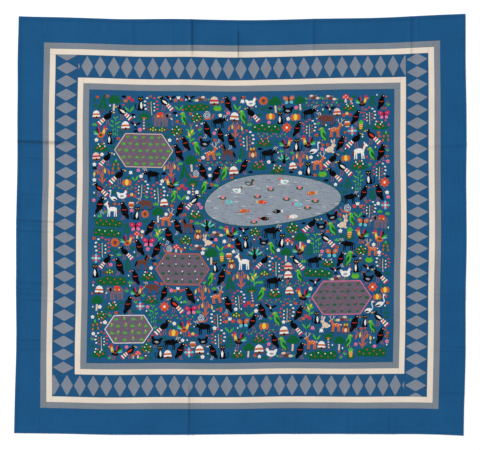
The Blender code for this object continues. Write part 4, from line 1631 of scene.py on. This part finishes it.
def cotton(name, tint, slubs=1.0):
    """Plain woven dyed cotton: the product of two sines as its weave, uneven yarns along both threads, a
    mottled dye, soil and painted shade along the creases, and painted shade along the hem line and deep in
    the seams."""
    material, shader = new_material(name)
    cut = add(material, "ShaderNodeAttribute", attribute_name="cut").outputs["Vector"]
    seam = add(material, "ShaderNodeAttribute", attribute_name="seam").outputs["Fac"]
    soil = add(material, "ShaderNodeAttribute", attribute_name="soil").outputs["Fac"]
    turns = np.pi / sizes().weave_pitch
    phase = add(material, "ShaderNodeVectorMath", {0: cut, "Scale": turns}, operation="SCALE").outputs[0]
    threads = add(material, "ShaderNodeVectorMath", {0: phase}, operation="SINE").outputs[0]
    parts = add(material, "ShaderNodeSeparateXYZ", {0: threads}).outputs
    weave = sums(material, "MULTIPLY", parts[0], parts[1])
    yarns = []
    for stretch in ((14, 620, 1), (620, 14, 1)):
        drawn = add(material, "ShaderNodeVectorMath", {0: cut, 1: stretch}, operation="MULTIPLY").outputs[0]
        yarns.append(noise(material, drawn, 1.0, 2.0))
    yarn = sums(material, "SUBTRACT", sums(material, "ADD", *yarns), 1.0)
    mottle = noise(material, cut, 7.0, 3.0)
    specks = noise(material, cut, 120.0, 3.0)
    shade = sums(material, "MULTIPLY_ADD", yarn, YARN_SHADE * slubs, 1.0)
    for stain, strength in ((mottle, MOTTLE_SHADE), (specks, SPECK_SHADE)):
        uneven = sums(material, "SUBTRACT", stain, 0.5)
        shade = sums(material, "ADD", shade, sums(material, "MULTIPLY", uneven, strength))
    shade = sums(material, "ADD", shade, sums(material, "MULTIPLY", weave, WEAVE_SHADE))
    # Soil and painted shade by the creases, and painted shade along the hem line, darken the colour.
    shade = sums(material, "MULTIPLY", shade, sums(material, "MULTIPLY_ADD", soil, -PAINTED_SHADE_AND_SOIL, 1.0))
    # Painted shade deep in each seam, fading out from it.
    painted_seam_shade = sums(material, "EXPONENT", sums(material, "MULTIPLY", seam, -SEAM_FADE))
    shade = sums(material, "MULTIPLY", shade, sums(material, "MULTIPLY_ADD", painted_seam_shade, -SEAM_PAINTED_SHADE, 1.0))
    dyed = add(material, "ShaderNodeVectorMath", {0: tint, "Scale": shade}, operation="SCALE").outputs[0]
    near = sums(material, "EXPONENT", sums(material, "MULTIPLY", seam, -GATHER_FADE))
    gathers = sums(material, "MULTIPLY", noise(material, cut, 85.0, 1.0), near)
    height = sums(material, "MULTIPLY_ADD", weave, WEAVE_BUMP, sums(material, "MULTIPLY", yarn, YARN_BUMP))
    height = sums(material, "ADD", height, sums(material, "MULTIPLY", gathers, GATHER_BUMP))
    rough = sums(material, "MULTIPLY_ADD", mottle, 0.12, 0.80)
    material.node_tree.links.new(dyed, shader.inputs["Base Color"])
    material.node_tree.links.new(bump(material, height, 0.7, 0.4 * MM), shader.inputs["Normal"])
    material.node_tree.links.new(rough, shader.inputs["Roughness"])
    shader.inputs["Specular IOR Level"].default_value = 0.1
    shader.inputs["Sheen Weight"].default_value = 0.06
    shader.inputs["Sheen Roughness"].default_value = 0.5
    return material


def floss(name, tint, gloss=FLOSS_GLOSS):
    """Stranded floss: a sine of the place along and across a stitch is its twist, each stitch has a shade
    of its own, and the gloss is soft."""
    material, shader = new_material(name)
    strand = add(material, "ShaderNodeAttribute", attribute_name="strand").outputs["Vector"]
    parts = add(material, "ShaderNodeSeparateXYZ", {0: strand}).outputs
    wound = sums(material, "MULTIPLY_ADD", parts[0], 4.2, sums(material, "MULTIPLY", parts[1], 1.7))
    twist = sums(material, "SINE", wound)
    shade = sums(material, "MULTIPLY_ADD", parts[2], 0.30, 0.86)
    shade = sums(material, "ADD", shade, sums(material, "MULTIPLY", twist, 0.07))
    dyed = add(material, "ShaderNodeVectorMath", {0: tint, "Scale": shade}, operation="SCALE").outputs[0]
    rough = sums(material, "MULTIPLY_ADD", parts[2], 0.12, 0.52)
    material.node_tree.links.new(dyed, shader.inputs["Base Color"])
    material.node_tree.links.new(bump(material, twist, 0.5, 0.08 * MM), shader.inputs["Normal"])
    material.node_tree.links.new(rough, shader.inputs["Roughness"])
    shader.inputs["Specular IOR Level"].default_value = gloss
    shader.inputs["Sheen Weight"].default_value = gloss / 8
    return material


def ready(obj):
    """Puts a finished piece on the cloth's one body."""
    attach(obj, "root")
    return obj


# The pieces.

# The steps of a sheet's grid, along and across a strip.
BORDER_STEPS = (0.016, 0.011)
FRAME_STEPS = (0.016, 0.009)
BAND_STEPS = (0.016, 0.012)
FIELD_STEP = 0.0115

# The hem's running stitch.
HEM_STITCH_SHARE = 0.62  # its length, as a share of its pitch
HEM_THREAD_WIDTH = 0.00055
HEM_THREAD_RISE = 0.00022

# A lozenge patch. Its grid has lines at these shares of the way from its middle to its edge.
PATCH_LINES = np.array([0, 0.22, 0.44, 0.64, 0.81, 0.93, 0.98, 1.0])
TIP_DRAW = 0.045  # how far its tips are drawn in, as a share of its half size
TIP_POWER = 9  # how close to the tips that is felt
PATCH_CLEAR = 0.0005  # how far it keeps from the seams
PATCH_ROLL = 0.0009  # radius of its turned edge
PATCH_SINK = 0.00012  # how far that edge lies under the band's face
TURNING_WIDTH = 0.0055  # width of the turning under it
TURNING_FADE = 0.003  # how far it takes to lie flat from there
LEAST_AREA = 5e-11  # of a face, in square metres

# The slip stitches that hold a patch.
SLIPS_PER_EDGE = 8
SLIP_OUT = 0.0005  # how far they reach out of the patch
SLIP_IN = 0.0013  # how far they reach in over it
SLIP_CLEAR = 0.001  # how far they keep from the seams
SLIP_LIFT = 0.0001  # how far they are lifted, besides a layer of stitches
SLIP_WIDTH = 0.0004
SLIP_RISE = 0.00025
SLIP_SEED = 10  # the seed of the first band's thread


def steps_on(side, steps):
    """A strip's grid steps in x and y: long cells along the strip and shorter ones across it."""
    return steps if side in ("top", "bottom") else steps[::-1]


class STORYCLOTH_OT_border(bpy.types.Operator):
    """Makes the four strips of the border, with their turned hem and its stitches"""

    bl_idname = "storycloth.border"
    bl_label = "Border"

    def execute(self, context):
        material = cotton("border_blue", colours().border_blue)
        sewing = floss("hem_sewing", colours().sewing)
        for number, side in enumerate(SIDES):
            cut = strip_cut(RINGS[0], 0.0, side)
            steps = steps_on(side, BORDER_STEPS)
            obj = ready(sheet("cotton_border_" + side, cut, strip_face, *steps, material))
            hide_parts("border_" + side)
            stitches = self.hem_stitches(side, cut, sewing, number)
        return {"FINISHED"}

    @staticmethod
    def hem_stitches(side, cut, material, seed):
        """A running stitch along the hem line of each outer edge: a stitch and a gap in turn."""
        size = sizes()
        pitch, line = size.sewing_pitch, size.hem_line
        rows = []
        for hem in sorted(hemmed_sides(cut)):
            low, high = (cut.left, cut.right) if hem in ("top", "bottom") else (cut.bottom, cut.top)
            start = np.arange(low + pitch, high - pitch, pitch)
            end = start + HEM_STITCH_SHARE * pitch
            inset = (HALF_HEIGHT if hem in ("top", "bottom") else HALF_WIDTH) - line
            across = np.full(len(start), inset if hem in ("top", "right") else -inset)
            row = (start, across, end, across) if hem in ("top", "bottom") else (across, start, across, end)
            rows.append(np.stack(row, axis=1))
        ends = np.concatenate(rows)
        obj = stitch_mesh(
            "hem_sewing_" + side, ends, np.zeros(len(ends)), lambda x, y: strip_face(cut, x, y),
            HEM_THREAD_WIDTH, HEM_THREAD_RISE, material, seed,
        )
        return ready(obj)


class STORYCLOTH_OT_frames(bpy.types.Operator):
    """Makes the narrow grey and cream strips"""

    bl_idname = "storycloth.frames"
    bl_label = "Narrow frames"

    def execute(self, context):
        grey = cotton("frame_grey", colours().frame_grey)
        cream = cotton("frame_cream", colours().frame_cream, 0.5)
        for ring in RINGS:
            if ring.name in ("border", "lozenge_band"):
                continue
            material = grey if ring.cloth == "frame_grey" else cream
            for side in SIDES:
                cut = strip_cut(ring, ring_inset(ring.name), side)
                node = f"{ring.name}_{side}"
                steps = steps_on(side, FRAME_STEPS)
                obj = ready(sheet("cotton_" + node, cut, strip_face, *steps, material))
                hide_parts(node)
        return {"FINISHED"}


class STORYCLOTH_OT_bands(bpy.types.Operator):
    """Makes the four bands with their row of lozenge patches, and the stitches that hold the patches"""

    bl_idname = "storycloth.bands"
    bl_label = "Lozenge bands"

    def execute(self, context):
        ring = next(ring for ring in RINGS if ring.name == "lozenge_band")
        blue = cotton("band_blue", colours().band_blue)
        grey = cotton("lozenge_grey", colours().lozenge_grey)
        sewing = floss("patch_sewing", colours().frame_grey)
        for number, side in enumerate(SIDES):
            cut = strip_cut(ring, ring_inset(ring.name), side)
            steps = steps_on(side, BAND_STEPS)
            obj = ready(sheet("cotton_band_" + side, cut, strip_face, *steps, blue))
            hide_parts("lozenge_band_" + side)
            patches = ready(self.patches(side, cut, grey))
            stitches = ready(self.slip_stitches(side, cut, sewing, SLIP_SEED + number))
        return {"FINISHED"}

    @staticmethod
    def centres(side, cut):
        """The middle of each lozenge on the cut, and its half sizes along x and y. Along the strip, each is
        a share of the mean distance to its neighbours."""
        row = LOZENGE_ROWS[side]
        number = np.arange(row.count)
        nudge = np.interp(number / NUDGED_EVERY, np.arange(len(row.nudges)), row.nudges)
        run = row.first + number * row.pitch + nudge + WANDER_ALONG * np.sin(2.3 * number + 0.7)
        drift = WANDER_ACROSS * np.sin(1.7 * number + 0.2)
        along = LOZENGE_SHARE * np.gradient(run)
        across = np.full(row.count, LOZENGE_ACROSS)
        if side in ("top", "bottom"):
            return cut.left + run, (cut.bottom + cut.top) / 2 + drift, along, across
        return (cut.left + cut.right) / 2 + drift, cut.top - run, across, along

    def patches(self, side, cut, material):
        """The patches as one mesh. Two parameters from -1 to 1 run along a lozenge's two pairs of edges: x
        is half their sum and y half their difference, times the half sizes. The face rises over the turned
        edge on a quarter circle, stands a little proud over the turning, and its tips are drawn in."""
        size = sizes()
        centre_x, centre_y, half_x, half_y = (values[:, None] for values in self.centres(side, cut))
        station = np.concatenate([-PATCH_LINES[:0:-1], PATCH_LINES])
        s, t = (values.ravel() for values in np.meshgrid(station, station, indexing="ij"))
        drawn = 1 - TIP_DRAW * (np.abs(s) * np.abs(t)) ** TIP_POWER
        reach = half_x * half_y / np.hypot(half_x, half_y)
        inside = np.minimum(1 - np.abs(s), 1 - np.abs(t)) * reach
        x = centre_x + half_x * drawn * (s + t) / 2
        y = centre_y + half_y * drawn * (t - s) / 2
        x, y, inside = x.ravel(), y.ravel(), inside.ravel()
        x = np.clip(x, cut.left + PATCH_CLEAR, cut.right - PATCH_CLEAR)
        y = np.clip(y, cut.bottom + PATCH_CLEAR, cut.top - PATCH_CLEAR)
        edge = np.clip(1 - inside / PATCH_ROLL, 0, 1)
        turning = smooth_step(inside / MM) * (1 - smooth_step((inside - TURNING_WIDTH) / TURNING_FADE))
        rise = size.patch_rise * np.sqrt(1 - edge**2) - PATCH_SINK + size.patch_welt * turning
        count = len(x) // len(s)
        z = strip_face(cut, x, y) + rise
        quads = grid_quads(len(station), len(station))
        quads = (np.arange(count)[:, None, None] * len(s) + quads).reshape(-1, 4)
        corner = np.stack([x, y], axis=1)[quads]
        first, second = corner[:, 2] - corner[:, 0], corner[:, 3] - corner[:, 1]
        doubled_area = np.abs(first[:, 0] * second[:, 1] - first[:, 1] * second[:, 0])
        quads = quads[doubled_area > 2 * LEAST_AREA]
        used, quads = np.unique(quads, return_inverse=True)
        quads = quads.reshape(-1, 4)
        x, y, z = x[used], y[used], z[used]
        attributes = {
            "cut": np.stack([x, y, np.zeros_like(x)], axis=1),
            # Distance in from the patch's edge, for the painted shade deep along it and its gathers.
            "seam": inside[used] / MM,
            # Soil and painted shade by the creases, and painted shade along the hem line.
            "soil": painted_shade_and_soil(x, y),
        }
        obj = mesh_object("patches_" + side, laid(x, y, z), quads, attributes)
        obj.data.materials.append(material)
        return obj

    def slip_stitches(self, side, cut, material, seed):
        """Small stitches square across each lozenge's edges, evenly spaced between its tips."""
        centre_x, centre_y, half_x, half_y = self.centres(side, cut)
        centre = np.stack([centre_x, centre_y], axis=1)[:, None]
        half = np.stack([half_x, half_y], axis=1)[:, None]
        share = (np.arange(SLIPS_PER_EDGE) + 0.5)[:, None] / SLIPS_PER_EDGE
        rows = []
        for sign_x, sign_y in ((1, 1), (-1, 1), (-1, -1), (1, -1)):
            edge = half * np.concatenate([sign_x * share, sign_y * (1 - share)], axis=1)
            inward = -half[..., ::-1] * (sign_x, sign_y) / np.hypot(half_x, half_y)[:, None, None]
            tips = (centre + edge - inward * SLIP_OUT, centre + edge + inward * SLIP_IN)
            rows.append(np.concatenate(tips, axis=2))
        ends = np.concatenate(rows, axis=1).reshape(-1, 4)
        x, y = ends[:, 0::2], ends[:, 1::2]
        kept = (x > cut.left + SLIP_CLEAR) & (x < cut.right - SLIP_CLEAR)
        kept &= (y > cut.bottom + SLIP_CLEAR) & (y < cut.top - SLIP_CLEAR)
        ends = ends[kept.all(axis=1)]
        return stitch_mesh(
            "patch_sewing_" + side, ends, np.ones(len(ends)),
            lambda x, y: strip_face(cut, x, y) + SLIP_LIFT, SLIP_WIDTH, SLIP_RISE, material, seed,
        )


class STORYCLOTH_OT_field(bpy.types.Operator):
    """Makes the blue field panel under the embroidery"""

    bl_idname = "storycloth.field"
    bl_label = "Field panel"

    def execute(self, context):
        material = cotton("field_blue", colours().field_blue)
        obj = sheet("cotton_field", field_cut(), field_face, FIELD_STEP, FIELD_STEP, material)
        ready(obj)
        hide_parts("field_panel")
        return {"FINISHED"}


class STORYCLOTH_OT_embroidery(bpy.types.Operator):
    """Sews the motifs on the field panel, the stitches of each colour of floss as one mesh"""

    bl_idname = "storycloth.embroidery"
    bl_label = "Embroidery"

    def execute(self, context):
        size, layout = sizes(), context.scene.story_cloth_layout
        cut = field_cut()
        sewing = garden(cut.right / MM, cut.top / MM, layout.margin / MM, layout.seed)
        for number, thread in enumerate(THREADS):
            chosen = sewing.thread == number
            gloss = BLACK_GLOSS if thread == "black" else FLOSS_GLOSS
            material = floss(thread + "_floss", getattr(colours(), thread), gloss)
            obj = stitch_mesh(
                "floss_" + thread, sewing.ends[chosen] * MM, sewing.over[chosen],
                lambda x, y: field_face(cut, x, y), size.stitch_width, size.stitch_rise, material, number,
            )
            ready(obj)
        return {"FINISHED"}


# The stage.
FLOOR_HALF = 40.0
FLOOR_DROP = 0.0003  # how far the floor lies under the cloth
SKY_STRENGTH = 0.40


class STORYCLOTH_OT_stage(bpy.types.Operator):
    """Makes the pale floor, the soft lights and the camera straight above the cloth"""

    bl_idname = "storycloth.stage"
    bl_label = "Stage"

    def execute(self, context):
        self.floor()
        self.lights()
        self.camera()
        context.scene.view_settings.view_transform = "Standard"
        return {"FINISHED"}

    @staticmethod
    def floor():
        """A wide plain floor just under the cloth."""
        half, z = FLOOR_HALF, CAD_BOX[0].z - FLOOR_DROP
        points = np.array([[-half, -half, z], [half, -half, z], [half, half, z], [-half, half, z]])
        obj = mesh_object("floor", points, np.array([[0, 1, 2, 3]]), {})
        material, shader = new_material("floor_white")
        shader.inputs["Base Color"].default_value = (0.93, 0.93, 0.93, 1)
        shader.inputs["Roughness"].default_value = 0.9
        shader.inputs["Emission Color"].default_value = (1, 1, 1, 1)
        shader.inputs["Emission Strength"].default_value = 0.2
        obj.data.materials.append(material)

    @staticmethod
    def lights():
        """A broad light from far to the upper left, a weak one from the lower right, and a pale sky."""
        Lamp = namedtuple("Lamp", "name place size power")
        lamps = (
            Lamp("key_light", (-14.5, 13.5, 14.0), 5.0, 4750),
            Lamp("fill_light", (10.0, -11.0, 15.0), 8.0, 700),
        )
        for lamp in lamps:
            data = bpy.data.lights.new(lamp.name, "AREA")
            data.size = lamp.size
            data.energy = lamp.power
            obj = bpy.data.objects.new(lamp.name, data)
            bpy.context.scene.collection.objects.link(obj)
            obj.location = lamp.place
            obj.rotation_euler = (-obj.location).to_track_quat("-Z", "Y").to_euler()
        world = bpy.data.worlds.new("pale_sky")
        world.use_nodes = True
        sky = world.node_tree.nodes["Background"]
        sky.inputs["Color"].default_value = (1, 1, 1, 1)
        sky.inputs["Strength"].default_value = SKY_STRENGTH
        bpy.context.scene.world = world

    @staticmethod
    def camera():
        """Straight above, far off with a long lens, framed as the photograph is."""
        data = bpy.data.cameras.new("camera")
        data.lens = 100
        obj = bpy.data.objects.new("camera", data)
        bpy.context.scene.collection.objects.link(obj)
        across = (PHOTO_WIDTH / 2 - CUT_MIDDLE_AT[0]) * PIXEL - MIDDLE_X
        along = (CUT_MIDDLE_AT[1] - PHOTO_HEIGHT / 2) * PIXEL - MIDDLE_Y
        obj.location = (across, along, PHOTO_WIDTH * PIXEL * data.lens / data.sensor_width)
        bpy.context.scene.camera = obj


class STORYCLOTH_PT_panel(bpy.types.Panel):
    """Lists the steps that make the cloth, and its sizes and colours"""

    bl_idname = "STORYCLOTH_PT_panel"
    bl_label = "Story cloth"
    bl_space_type = "VIEW_3D"
    bl_region_type = "UI"
    bl_category = "Story cloth"

    def draw(self, context):
        for step in STEPS:
            self.layout.operator(step.bl_idname)
        for group in (sizes(), colours(), context.scene.story_cloth_layout):
            box = self.layout.box()
            for key in group.__annotations__:
                box.prop(group, key)


STEPS = (
    STORYCLOTH_OT_stage,
    STORYCLOTH_OT_border,
    STORYCLOTH_OT_frames,
    STORYCLOTH_OT_bands,
    STORYCLOTH_OT_field,
    STORYCLOTH_OT_embroidery,
)
CLASSES = (StoryClothSizes, StoryClothColours, StoryClothLayout, *STEPS, STORYCLOTH_PT_panel)


def register():
    for one in CLASSES:
        bpy.utils.register_class(one)
    bpy.types.Scene.story_cloth_sizes = PointerProperty(type=StoryClothSizes)
    bpy.types.Scene.story_cloth_colours = PointerProperty(type=StoryClothColours)
    bpy.types.Scene.story_cloth_layout = PointerProperty(type=StoryClothLayout)


def unregister():
    del bpy.types.Scene.story_cloth_layout
    del bpy.types.Scene.story_cloth_colours
    del bpy.types.Scene.story_cloth_sizes
    for one in reversed(CLASSES):
        bpy.utils.unregister_class(one)


def main():
    """Makes every piece in order."""
    register()
    bpy.ops.storycloth.stage()
    bpy.ops.storycloth.border()
    bpy.ops.storycloth.frames()
    bpy.ops.storycloth.bands()
    bpy.ops.storycloth.field()
    bpy.ops.storycloth.embroidery()


if __name__ == "__main__":
    main()
